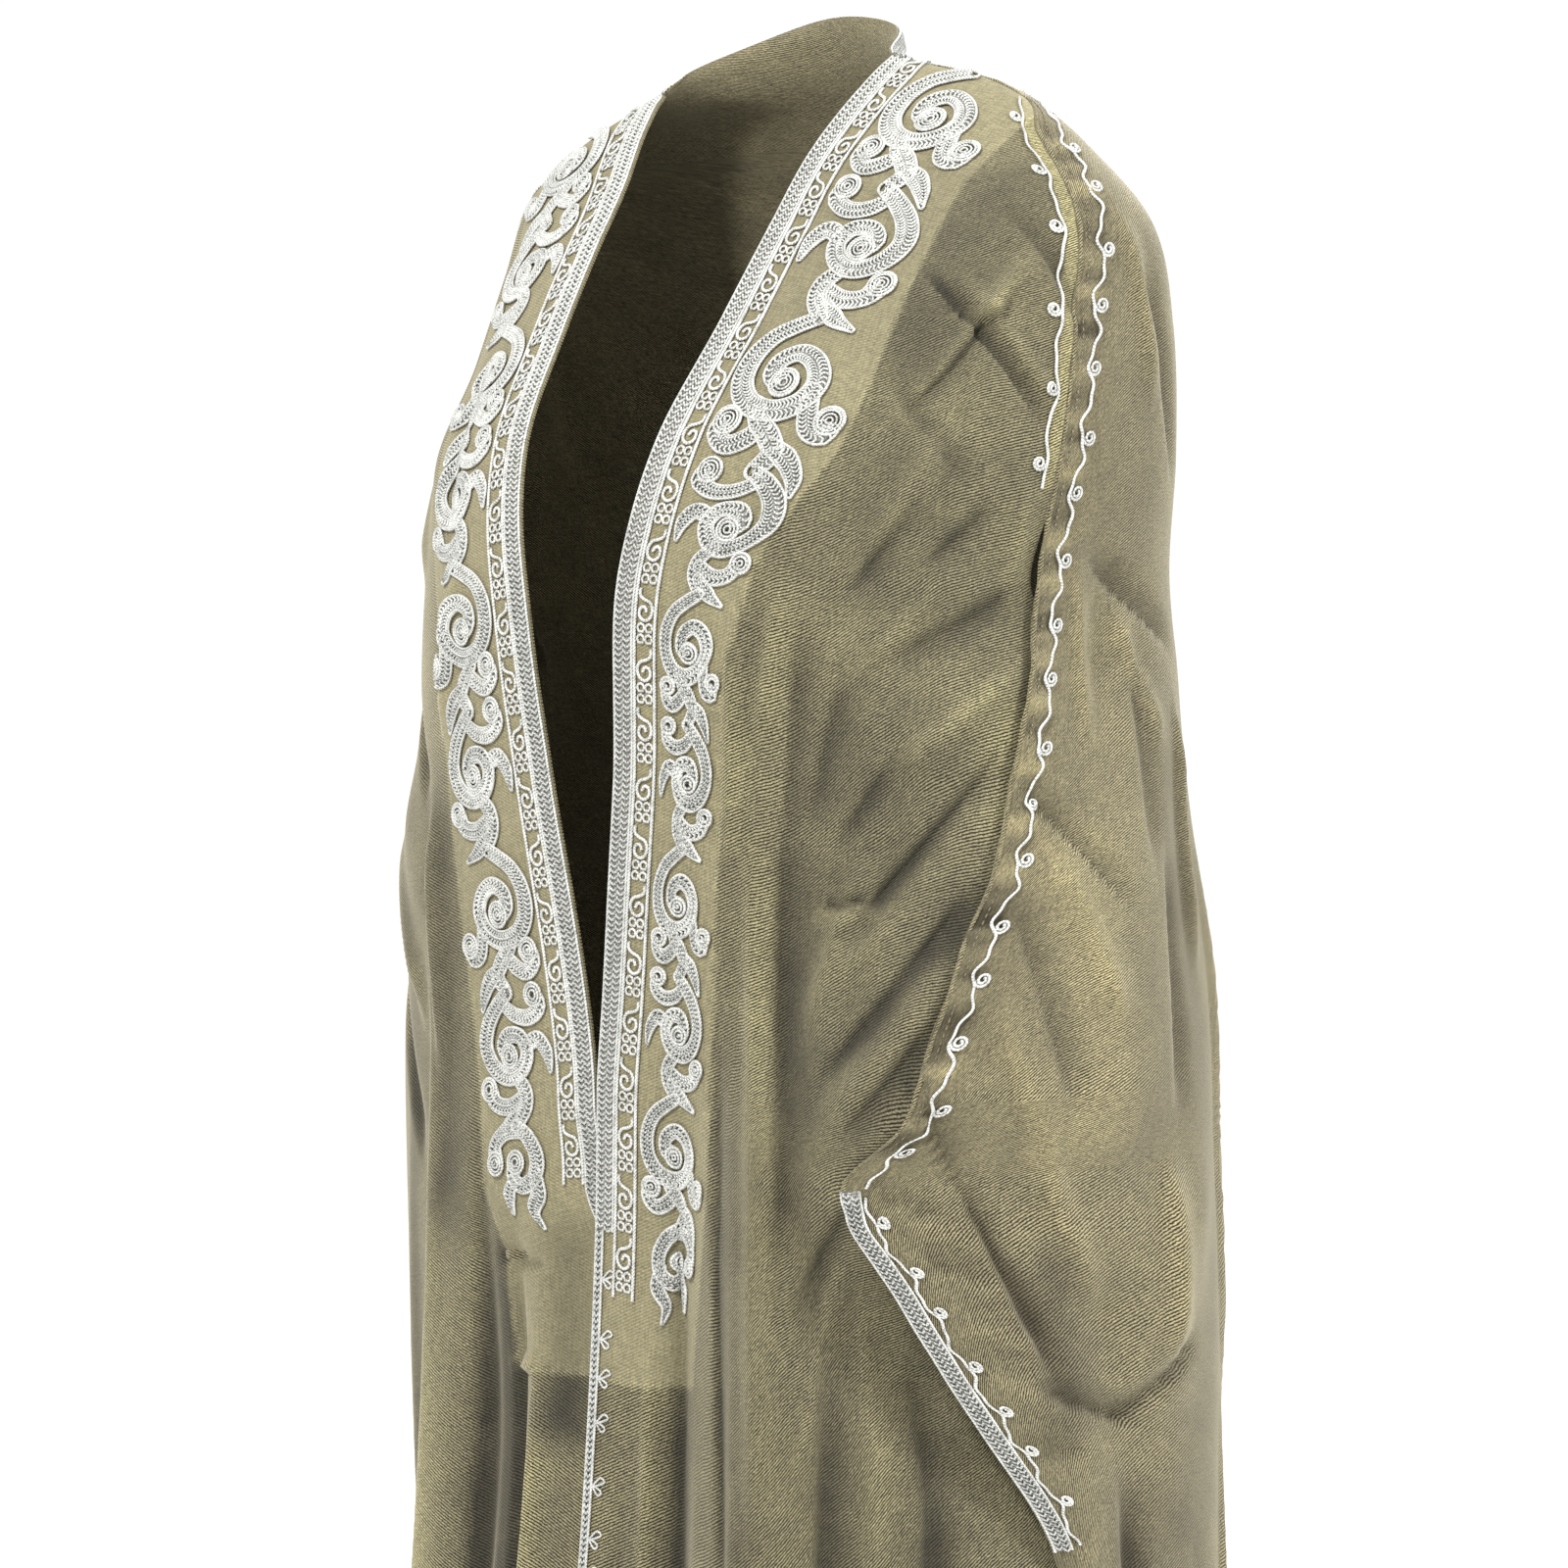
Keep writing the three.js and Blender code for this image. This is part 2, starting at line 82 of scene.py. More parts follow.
SIDE = table("level left right", [
    [-36, 90, 90], [-60, 85, 88], [-146, 81, 86], [-288, 76.5, 86], [-361, 73, 86], [-460, 66, 86],
    [-524, 59, 86], [-587, 54.5, 86], [-621, 48, 86], [-680, 55, 88], [-745, 64, 91],
    [-810, 73, 94], [-900, 78, 92], [-1400, 82, 90],
])
FOREARM = table("level angle height before behind", [
    [-330, 72, 0, 12, 26], [-410, 70, 6, 11, 26], [-482, 63, 24, 10, 26], [-558, 57, 42, 9, 26],
    [-615, 51, 44, 10, 27], [-700, 56, 30, 14, 28], [-800, 66, 14, 18, 28], [-900, 70, 0, 20, 28],
])
NECK_ROWS = table("level rise", [
    [0, 1], [-4, 0.77], [-12, 0.57], [-24, 0.52], [-36, 0.273], [-1400, 0],
])

# Folds that the whole garment has: ridges (height above 0) and troughs, along straight lines.
FOLDS = table("angleTop top angleFoot foot halfWidth height fadeTop fadeFoot", [
    [38, -420, 33, -1400, 26, 16, 300, 1], [23, -430, 22, -1400, 15, -14, 300, 1],
    [50, -760, 47, -1400, 20, -12, 160, 1], [62, -820, 60, -1400, 24, 12, 180, 1],
    [10, -800, 9, -1400, 22, 8, 200, 1], [72, -100, 38, -245, 20, 7, 60, 90],
    [70, -330, 36, -500, 22, 8, 70, 120], [61, -470, 38, -660, 20, 8, 60, 120],
    [48, -540, 40, -690, 12, -7, 50, 90], [-30, -600, -26, -1400, 22, -14, 200, 1],
    [-40, -560, -40, -1400, 20, 10, 260, 1], [-56, -640, -58, -1400, 24, -11, 240, 1],
    [-10, -850, -11, -1400, 20, 8, 200, 1], [-70, -160, -34, -300, 22, 6, 70, 110],
    [-74, -360, -40, -560, 22, 7, 80, 130], [-74, -900, -74, -1400, 22, 10, 240, 1],
    [92, -270, 78, -470, 20, -8, 80, 130], [112, -330, 96, -600, 26, -10, 110, 150],
    [100, -560, 84, -780, 22, 9, 90, 140], [76, -640, 88, -860, 18, -9, 60, 100],
    [92, -860, 90, -1400, 26, -14, 220, 1], [106, -760, 104, -1400, 26, 13, 280, 1],
    [124, -500, 120, -1400, 26, -14, 320, 1], [140, -420, 136, -1400, 28, 13, 340, 1],
    [157, -560, 154, -1400, 24, -13, 320, 1], [173, -480, 172, -1400, 28, 12, 360, 1],
    [-170, -620, -171, -1400, 24, -12, 300, 1], [-154, -460, -155, -1400, 28, 13, 360, 1],
    [-138, -560, -138, -1400, 24, -13, 300, 1], [-122, -480, -123, -1400, 28, 13, 340, 1],
    [130, -150, 165, -330, 26, 5, 90, 140], [-130, -170, -164, -350, 26, 5, 90, 140],
    [-96, -300, -84, -520, 22, -8, 90, 140], [-108, -520, -106, -1400, 26, -12, 300, 1],
    [-92, -860, -92, -1400, 24, 11, 240, 1],
])
# Finer creases, uneven in length, depth and spacing: each a soft ridge or trough on a line
# from one place to another, fading towards both ends.
CREASES = table("angle1 level1 angle2 level2 halfWidth height", [
    # left front: pulls across the chest, from the arm seam down, and beside the band
    [62, -130, 77, -232, 3.2, -3.6], [66, -136, 78, -224, 4, 2.2], [75, -136, 59, -214, 5, 2.6],
    [75, -144, 58, -223, 3.4, -2.8], [63, -222, 53, -294, 9, 3.2], [77, -126, 67, -172, 8, 2.6],
    [60, -262, 50, -318, 6, -2.4], [76, -304, 54, -353, 8, -2.8], [76, -338, 52, -413, 8, 3.2],
    [71, -390, 49, -497, 7, -3.8], [68, -410, 47, -522, 7, 3.6], [66, -460, 45, -574, 7, -4.2],
    [62, -490, 45, -592, 8, 4.2], [59, -530, 47, -606, 6, -3.2], [47, -479, 53, -472, 3, -4.5],
    [45, -486, 55, -480, 5, 2.4], [52, -444, 44, -548, 7, 2.8], [41, -300, 37, -396, 7, 3.0],
    [44, -320, 42, -452, 6, -2.6], [33, -322, 32, -470, 5, 3.0], [42, -405, 41, -690, 8, -4.4],
    [36, -378, 37, -900, 8, 3.4], [29, -500, 33, -900, 5, -3.2], [33, -620, 34, -1500, 6, 3.0],
    [47, -600, 46, -1500, 8, -4.4], [53, -632, 52, -1500, 8, 3.4], [60, -672, 59, -1200, 8, -3.4],
    [20, -604, 22, -900, 5, -3.2], [14, -655, 17, -1100, 6, 3.2], [26, -700, 25, -1500, 7, 3.0],
    [66, -860, 65, -1500, 9, 3.6], [9, -720, 8, -1500, 7, -3.0], [58, -560, 42, -700, 6, -2.6],
    [64, -520, 48, -640, 6, 2.4], [50, -640, 41, -800, 6, 2.2], [56, -196, 66, -262, 5, -2.2],
    [70, -262, 60, -300, 6, -2.4], [64, -300, 52, -352, 5, 2.2], [50, -352, 45, -440, 6, -2.4],
    [74, -250, 72, -330, 5, 2.2], [58, -384, 48, -452, 5, -2.4],
    # left sleeve
    [82, -284, 108, -340, 6.5, -3.6], [83, -292, 82, -400, 7, 3.2], [90, -312, 98, -396, 7, 3.2],
    [95, -318, 91, -470, 9, -2.6], [69, -404, 86, -484, 4.5, -3.4], [72, -436, 81, -546, 8, 3.6],
    [68, -460, 74, -594, 7, -3.4], [63, -506, 72, -644, 7, 3.4], [54, -552, 74, -736, 4.5, -4.2],
    [66, -590, 78, -690, 7, 3.2], [68, -722, 86, -750, 5.5, -3.8], [80, -752, 97, -704, 5.5, -3.6],
    [58, -590, 70, -680, 6, 3.0], [51, -622, 60, -634, 3, -2.2], [53, -636, 64, -650, 3.5, 2.4],
    [56, -654, 66, -668, 3.5, -2.4], [60, -690, 71, -706, 4, 2.4], [64, -722, 74, -736, 4, 2.2],
    [67, -752, 78, -762, 4, -2.2], [87, -96, 96, -214, 8, 3.2], [90, -122, 107, -252, 8, -3.2],
    [105, -356, 104, -526, 9, 4.2], [88, -600, 89, -728, 9, 3.8], [83, -760, 89, -1000, 9, -4.2],
    [77, -780, 80, -1100, 8, 3.4], [96, -430, 92, -600, 9, -3.4], [98, -800, 97, -1500, 9, -3.6],
    [110, -700, 109, -1300, 8, 3.4], [75, -100, 82, -180, 5, -2.2],
    # right front
    [-31, -276, -41, -394, 7, 3.2], [-56, -150, -34, -282, 7, -3.2], [-72, -190, -52, -300, 7, 3.0],
    [-46, -410, -45, -590, 7, 3.2], [-66, -330, -48, -430, 7, -3.0], [-70, -420, -50, -560, 7, 3.4],
    [-72, -500, -52, -640, 7, -3.6], [-25, -628, -21, -1100, 6, -4.2],
    [-17, -645, -14, -1300, 6, 3.6], [-31, -677, -14, -683, 4, -3.2],
    [-28, -737, -14, -739, 4, 2.8], [-35, -560, -29, -1300, 7, -4.8],
    [-49, -466, -43, -1100, 8, 3.4], [-60, -560, -58, -1500, 8, 3.4],
    [-70, -700, -66, -1500, 9, -4.0], [-30, -800, -29, -1500, 7, 3.0],
    [-77, -850, -76, -1500, 8, 3.4],
    # right sleeve
    [-88, -284, -99, -350, 6, -4.0], [-92, -320, -88, -460, 8, 3.2],
    [-97, -420, -90, -560, 8, -3.6], [-96, -560, -104, -700, 7, 3.4],
    [-100, -640, -112, -760, 7, -3.8], [-98, -730, -108, -750, 4, 2.6],
    [-90, -110, -106, -230, 8, 3.0], [-104, -700, -106, -1400, 8, 3.4],
    [-96, -880, -97, -1500, 8, -3.6],
    # back: pulls from the shoulder blades, then folds that fall to the hem
    [118, -180, 146, -300, 9, -3.0], [124, -230, 150, -380, 9, 3.2],
    [-122, -200, -148, -330, 9, 3.0], [-126, -260, -152, -400, 9, -3.2],
    [178, -70, 176, -200, 8, 2.6], [170, -260, 168, -600, 9, 3.2],
    [-172, -300, -170, -560, 9, -3.0], [114, -420, 112, -800, 9, 3.4],
    [132, -600, 130, -1500, 8, 3.4], [147, -520, 146, -1200, 8, -3.6],
    [163, -700, 162, -1500, 8, 3.4], [179, -820, 179, -1500, 8, -3.4],
    [-163, -700, -163, -1500, 8, 3.4], [-146, -640, -146, -1500, 8, -3.6],
    [-131, -560, -130, -1500, 8, 3.4], [-115, -700, -115, -1400, 8, -3.4],
    [118, -900, 117, -1500, 7, -3.0], [-138, -900, -139, -1500, 7, 2.8],
])
# Broad bands of painted light (heights above 0) and painted shade (below 0): where the cloth lies
# double, is stretched over the arm, or hangs free.
PAINTED_LIGHT_BANDS = table("angle1 level1 angle2 level2 halfWidth height", [
    [34, -480, 37, -1600, 15, -0.55], [78, -60, 58, -215, 24, -0.45],
    [62, -215, 52, -330, 34, -0.30], [56, -330, 48, -620, 22, -0.38],
    [48, -600, 48, -1600, 16, -0.25], [22, -640, 24, -1600, 11, -0.5],
    [60, -640, 60, -1600, 14, -0.35], [66, -420, 60, -560, 16, -0.4],
    [72, -360, 66, -470, 12, 0.35], [78, -420, 74, -620, 24, 0.5], [90, -300, 88, -480, 30, 0.25],
    [80, -600, 84, -800, 34, 0.25], [101, -300, 103, -1000, 20, -0.45],
    [70, -640, 76, -760, 12, -0.5], [84, -760, 86, -1500, 16, -0.7],
    [-16, -620, -15, -1600, 10, 0.3], [-29, -600, -27, -1600, 12, -1.6],
    [-44, -380, -43, -700, 14, -0.75], [-44, -640, -43, -1600, 12, 0.35],
    [-58, -300, -58, -1600, 14, -0.9], [-72, -300, -72, -1600, 18, 0.4],
    [-90, -400, -92, -900, 18, -0.4], [-104, -500, -106, -1600, 16, -0.5],
    [-122, -300, -122, -1600, 20, 0.5], [-154, -300, -155, -1600, 20, 0.5],
    [172, -300, 172, -1600, 20, 0.5], [140, -300, 137, -1600, 20, 0.5],
    [124, -400, 121, -1600, 16, -0.5], [157, -400, 155, -1600, 16, -0.5],
    [-139, -400, -139, -1600, 16, -0.5], [-171, -400, -171, -1600, 16, -0.5],
    [106, -700, 104, -1600, 16, 0.3], [94, -680, 97, -1600, 16, -0.35],
    [-10, -640, -8, -790, 16, -1.0], [58, -50, 32, -210, 26, -0.4],
])

# Outer edge of the doubled band, in from the front edge, down the left front and the right one.
DOUBLED = table("level left right", [
    [0, 118, 100], [-60, 116, 100], [-105, 111, 100], [-230, 111, 100], [-262, 98, 100],
    [-290, 84, 100], [-325, 78, 100], [-357, 71, 100], [-500, 74, 100], [-645, 82, 96],
    [-735, 76, 92],
])


# ---------- form of the worn cloth ----------
def smooth(t):
    t = np.clip(t, 0, 1)
    return t * t * (3 - 2 * t)


def mix(a, b, t):
    return a + (b - a) * t


def read(rows, column, level):
    """A column's value at each level, on a smooth curve through the table's rows."""
    depth, value = -rows["level"], rows[column]
    last = len(depth) - 1
    where = np.clip(-np.asarray(level, float), depth[0], depth[last])
    i = np.clip(np.searchsorted(depth, where, side="right") - 1, 0, last - 1)
    before = np.maximum(np.arange(last + 1) - 1, 0)
    after = np.minimum(np.arange(last + 1) + 1, last)
    slope = (value[after] - value[before]) / (depth[after] - depth[before])
    span = depth[i + 1] - depth[i]
    t = (where - depth[i]) / span
    return (value[i] * (2 * t**3 - 3 * t**2 + 1) + value[i + 1] * (3 * t**2 - 2 * t**3)
            + slope[i] * span * (t**3 - 2 * t**2 + t) + slope[i + 1] * span * (t**3 - t**2))


def plain_radius(angle, level):
    """Distance from the body's middle line to the cloth without its folds."""
    turn, n = np.radians(angle), read(SECTIONS, "square", level)
    total = 0
    for share, one, other in ((np.sin(turn), "left", "right"), (np.cos(turn), "front", "back")):
        half = np.where(share >= 0, read(SECTIONS, one, level), read(SECTIONS, other, level))
        total = total + (np.abs(share) / half)**n
    return total**(-1 / n)


def fold_height(angle, level):
    per_degree = np.radians(plain_radius(angle, np.minimum(level, -200)))
    height = np.zeros(np.broadcast(angle, level).shape)
    for row in zip(*FOLDS.values()):
        f = dict(zip(FOLDS, row))
        drop = f["top"] - f["foot"]
        along = np.clip((f["top"] - level) / drop, 0, 1)
        turn = angle - mix(f["angleTop"], f["angleFoot"], along)
        turn = turn - 360 * np.round(turn / 360)
        slant = np.arctan2((f["angleFoot"] - f["angleTop"]) * per_degree, drop)
        across = turn * per_degree * np.cos(slant) / f["halfWidth"]
        begin = smooth((f["top"] - level) / f["fadeTop"])
        end = 1 if f["foot"] <= HEM else smooth((level - f["foot"]) / f["fadeFoot"])
        height += f["height"] * np.exp(-0.5 * across**2) * (np.abs(across) < 4) * begin * end
    return height


def on_lines(rows, angle, level, fade, steep=1.0):
    """Sum of soft ridges and troughs on a table's lines, in the table's own heights. They fade over
    a share of their length at both ends. steep narrows their upper side, like a sharp fold's."""
    total = np.zeros(np.broadcast(angle, level).shape)
    for a1, l1, a2, l2, half_width, height in zip(*rows.values()):
        per_degree = math.radians(float(plain_radius((a1 + a2) / 2, min((l1 + l2) / 2, -150))))
        turn = angle - a1
        across, down = (turn - 360 * np.round(turn / 360)) * per_degree, l1 - level
        run = np.array([(a2 - a1) * per_degree, l1 - l2])
        length = float(np.hypot(*run))
        run = run / length
        along = (across * run[0] + down * run[1]) / length
        off = (across * run[1] - down * run[0]) / half_width
        off = np.where(off < 0, off * steep, off)
        bell = np.exp(-0.5 * off**2) * (np.abs(off) < 4)
        total += height * bell * smooth(along / fade) * smooth((1 - along) / fade)
    return total


def forearm_height(angle, level):
    turn = angle - read(FOREARM, "angle", level)
    spread = np.where(turn < 0, read(FOREARM, "before", level), read(FOREARM, "behind", level))
    height = np.maximum(0, read(FOREARM, "height", level)) * (np.abs(turn) < 150)
    return height * np.exp(-0.5 * (turn / spread)**2)


def crease_height(angle, level):
    return on_lines(CREASES, angle, level, 0.3, 2.6)


def cloth_radius(angle, level):
    folds = fold_height(angle, level) + 1.7 * crease_height(angle, level)
    return plain_radius(angle, level) + folds + forearm_height(angle, level)


def painted_light_of(grid):
    """Painted light and shade of the cloth at each point: the broad painted bands, some over
    doubled places, with painted light on ridges and painted shade in troughs.
    """
    angle, level = np.degrees(np.arctan2(grid[..., 0], -grid[..., 1])), grid[..., 2]
    # painted light on the ridges of folds and creases, and stronger painted shade in their troughs
    relief = 0.012 * fold_height(angle, level) + 0.24 * crease_height(angle, level)
    relief = np.where(relief > 0, 0.5 * relief, 0.95 * np.tanh(relief))
    return np.clip(on_lines(PAINTED_LIGHT_BANDS, angle, level, 0.18) + relief, -1, 1)


def seam_crinkle(grid, run):
    """Small puckers drawn up across the strip that is felled down beside the arm seam."""
    level = grid[..., 2]
    wave = (np.sin(level / 2.7 + 1.6 * np.sin(level / 13)) + 0.8 * np.sin(level / 4.9 + 2)
            + 0.6 * np.sin(level / 8.3 + 0.5 * np.sin(level / 31)))
    return 0.7 * wave * smooth((STRIP - run) / 8) * smooth((run + 1) / 3) * (level > CUFF_TOP)


def edge_angle(hand, level):
    gap = read(OPENING, "gap", level)
    if hand < 0:
        gap = gap - LAP_WIDTH * smooth((LAP_TOP - LAP_DEPTH - level) / LAP_DEPTH)
    low, high = np.full(level.shape, -30.0), np.full(level.shape, 90.0)
    for _ in range(30):
        mid = (low + high) / 2
        short = plain_radius(hand * mid, level) * np.sin(np.radians(mid)) < gap
        low, high = np.where(short, mid, low), np.where(short, high, mid)
    return (low + high) / 2


def side_angle(hand, level):
    return read(SIDE, "left" if hand > 0 else "right", level)


def tuck_share(level, late=0):
    begun = smooth((TUCK_TOP - late - level) / TUCK_FADE)
    return begun * smooth((level - TUCK_FOOT - late) / TUCK_FADE)


def front_sink(hand, angle, level):
    """How far a front lies inside the common form, under the other front or the sleeve edge."""
    per_degree = np.radians(plain_radius(hand * angle, level))
    lap = LAP * smooth((LAP_TOP - level) / LAP_DEPTH) * (hand < 0)
    lap = lap * (1 - smooth((angle * per_degree - 4) / 60))
    near = 1 - smooth(((side_angle(hand, level) - angle) * per_degree + 4) / 70)
    mouth = (CUFF_TOP + 25 - level) / (CUFF_TOP - CUFF_FOOT + 50)
    gape = GAPE * np.sin(math.pi * np.clip(mouth, 0, 1))**2
    return lap + near * (TUCK * tuck_share(level) + gape)


def place(angle, level, radius):
    turn = np.radians(angle)
    return np.stack([radius * np.sin(turn), -radius * np.cos(turn), level], axis=-1)


def steps_down(count):
    return np.linspace(0, 1, count)**1.25


def front_rows(hand, count=345, samples=321):
    """Rows of points from a front's edge to its arm seam, from the shoulder crest to the hem."""
    t = steps_down(count)
    edge_level, side_level = mix(0, HEM, t), mix(CREST_FOOT, HEM, t)
    edge = edge_angle(hand, edge_level)
    edge[0] = 90
    side = side_angle(hand, side_level) + UNDERLAP * tuck_share(side_level, TUCK_FADE)
    side -= 2 * SEAM_GAP / np.radians(plain_radius(90.0 * hand, side_level))
    across = np.linspace(0, 1, samples)[None, :]
    level = mix(edge_level[:, None], side_level[:, None], across)
    angle = mix(edge[:, None], side[:, None], across)
    radius = cloth_radius(hand * angle, level) - front_sink(hand, angle, level)
    return place(hand * angle, level, radius)


def back_rows(count=257, samples=601):
    """Rows from the left arm seam round the back to the right one, from the neckline down."""
    crest = np.linspace(0, CREST_FOOT, 10)[:-1]
    side_level = np.concatenate([crest, mix(CREST_FOOT, HEM, steps_down(count))])
    on_crest = side_level >= CREST_FOOT
    left = np.where(on_crest, 90, side_angle(1, side_level))
    right = 360 - np.where(on_crest, 90, side_angle(-1, side_level))
    across = np.linspace(0, 1, samples)[None, :]
    rise = np.interp(-side_level, -NECK_ROWS["level"], NECK_ROWS["rise"])
    arch = np.abs(np.sin(math.pi * across))**NECK_ROUND
    level = side_level[:, None] + NECK_RISE * rise[:, None] * arch
    angle = mix(left[:, None], right[:, None], across)
    return place(angle, level, cloth_radius(angle, level))


def run_along(points):
    """Length along a row of points, or along each of many rows, from its first point."""
    steps = np.linalg.norm(np.diff(points, axis=-2), axis=-1)
    return np.concatenate([np.zeros(steps.shape[:-1] + (1,)), np.cumsum(steps, axis=-1)], axis=-1)


def evened(values, axis, reach=13):
    """Values averaged with their neighbours on one axis, so that threads run on over a crease."""
    share = np.hanning(2 * reach + 1)[1:-1]
    rows = np.moveaxis(values, axis, 0)
    padded = np.pad(rows, ((reach - 1, reach - 1), (0, 0)), mode="reflect", reflect_type="odd")
    total = sum(k * padded[i:i + len(rows)] for i, k in enumerate(share / share.sum()))
    return np.moveaxis(total, 0, axis)


def resample(points, marks):
    """Each row of points again, at its own marks along it."""
    return np.array([np.stack([np.interp(m, r, p[:, k]) for k in range(3)], axis=-1)
                     for m, r, p in zip(marks, run_along(points), points)])


def unit(vectors):
    return vectors / (np.linalg.norm(vectors, axis=-1, keepdims=True) + 1e-12)


def outward(grid):
    """Unit normals of a grid of points, pointing away from the body."""
    normal = unit(np.cross(np.gradient(grid, axis=0), np.gradient(grid, axis=1)))
    middle = (len(grid) // 2, grid.shape[1] // 2)
    return normal if np.dot(normal[middle][:2], grid[middle][:2]) >= 0 else -normal


class Ground:
    """A stretch of cloth that flat work lies on: its rows at their marks, which stand for known
    distances across it."""

    def __init__(self, rows, marks, across, mirrored=False):
        self.grid = resample(rows, np.broadcast_to(marks, (len(rows), len(across))))
        self.normal, self.across, self.mirrored = outward(self.grid), across, mirrored
        self.along = run_along(self.grid[:, len(across) // 2])

    def at_level(self, level):
        """Distance along the stretch at which its first column is at a level."""
        return float(np.interp(-level, -self.grid[:, 0, 2], self.along))

    def lay(self, flat):
        """Flat points (along, across, height) on the cloth."""
        row = np.interp(flat[:, 0], self.along, np.arange(len(self.along)))
        column = np.interp(flat[:, 1], self.across, np.arange(len(self.across)))
        j = np.minimum(row.astype(int), len(self.along) - 2)
        i = np.minimum(column.astype(int), len(self.across) - 2)
        a, b = (row - j)[:, None], (column - i)[:, None]

        def blend(of):
            return ((of[j, i] * (1 - b) + of[j, i + 1] * b) * (1 - a)
                    + (of[j + 1, i] * (1 - b) + of[j + 1, i + 1] * b) * a)

        return blend(self.grid) + unit(blend(self.normal)) * flat[:, 2:3]


# ---------- meshes ----------
def make_object(name, points, faces, material, replaced, attributes, flat=None):
    mesh = bpy.data.meshes.new(name)
    mesh.from_pydata((points * MM).tolist(), [], faces)
    mesh.polygons.foreach_set("use_smooth", np.ones(len(faces), bool) if flat is None else ~flat)
    for key, values in attributes.items():
        kind = "FLOAT" if values.ndim == 1 else "FLOAT_VECTOR"
        layer = mesh.attributes.new(key, kind, "POINT")
        layer.data.foreach_set("value" if kind == "FLOAT" else "vector", values.ravel())
    mesh.materials.append(material)
    mesh.validate()
    made = bpy.data.objects.new(name, mesh)
    bpy.context.scene.collection.objects.link(made)
    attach(made, "root")
    if replaced:
        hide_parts(*replaced)
    return made


def shell(name, grid, thickness, material, replaced, doubled=0.0, inset=0.0, shade=0.0):
    """A thin closed sheet over a grid. doubled says how far it lies double at each point, and shade
    is painted light (above 0) or painted shade (below 0) added to it there."""
    rows, columns = grid.shape[:2]
    normal = outward(grid)
    outer = grid - normal * inset
    inner = outer - normal * thickness
    points = np.concatenate([outer.reshape(-1, 3), inner.reshape(-1, 3)])
    count = rows * columns
    index = np.arange(count).reshape(rows, columns)
    corners = [index[:-1, :-1], index[:-1, 1:], index[1:, 1:], index[1:, :-1]]
    outer_faces = np.stack(corners, -1).reshape(-1, 4)
    loop = np.concatenate([index[0, :-1], index[:-1, -1], index[-1, :0:-1], index[:0:-1, 0]])
    after = np.roll(loop, -1)
    rim = np.stack([loop + count, after + count, after, loop], -1)
    j, i = rows // 2, columns // 2
    turn = np.cross(outer[j, i + 1] - outer[j, i], outer[j + 1, i] - outer[j, i])
    if np.dot(turn, normal[j, i]) < 0:
        outer_faces, rim = outer_faces[:, ::-1], rim[:, ::-1]
    faces = np.concatenate([outer_faces, outer_faces[:, ::-1] + count, rim])
    flat = np.arange(len(faces)) >= 2 * len(outer_faces)
    run = evened(run_along(grid), 0)
    down = evened(run_along(np.swapaxes(grid, 0, 1)).T, 1)
    thread = np.stack([run, down, np.zeros_like(run)], -1).reshape(-1, 3)
    band = np.broadcast_to(doubled, (rows, columns)).ravel()
    return make_object(name, points, faces.tolist(), material, replaced,
                       {"thread_mm": np.tile(thread, (2, 1)), "doubled": np.tile(band, 2),
                        "painted_light": np.tile((painted_light_of(grid) + shade).ravel(), 2)}, flat)


def curve_through(points, step=2.0):
    """A smooth path through given points, with points one step apart."""
    p = np.asarray(points, float)
    p = np.concatenate([2 * p[:1] - p[1:2], p, 2 * p[-1:] - p[-2:-1]])
    t = np.linspace(0, 1, 24, endpoint=False)[:, None]
    pieces = []
    for k in range(len(p) - 3):
        a, b, c, d = p[k:k + 4]
        pieces.append(0.5 * (2 * b + (c - a) * t + (2 * a - 5 * b + 4 * c - d) * t**2
                             + (3 * b - a - 3 * c + d) * t**3))
    fine = np.concatenate(pieces + [p[-2][None]])
    run = run_along(fine)
    even = np.linspace(0, run[-1], max(3, int(round(run[-1] / step)) + 1))
    return np.stack([np.interp(even, run, fine[:, k]) for k in range(2)], -1)


def sideways(path):
    """Unit vectors across a flat path (or paths), to the left of its run, and along it."""
    run = unit(np.gradient(path, axis=-2))
    return np.stack([-run[..., 1], run[..., 0]], -1), run


def ring(centre, radius, count=11):
    turn = np.linspace(0, 2 * math.pi, count)
    return centre + radius * np.stack([np.cos(turn), np.sin(turn)], -1)


CORD, LINK = 0.9, 1.05  # radii of an outline's cord and of a stitch that fills it
TWO_ROWS, ROUND_END = 6.5, 11.5  # ribbons wider than these have them


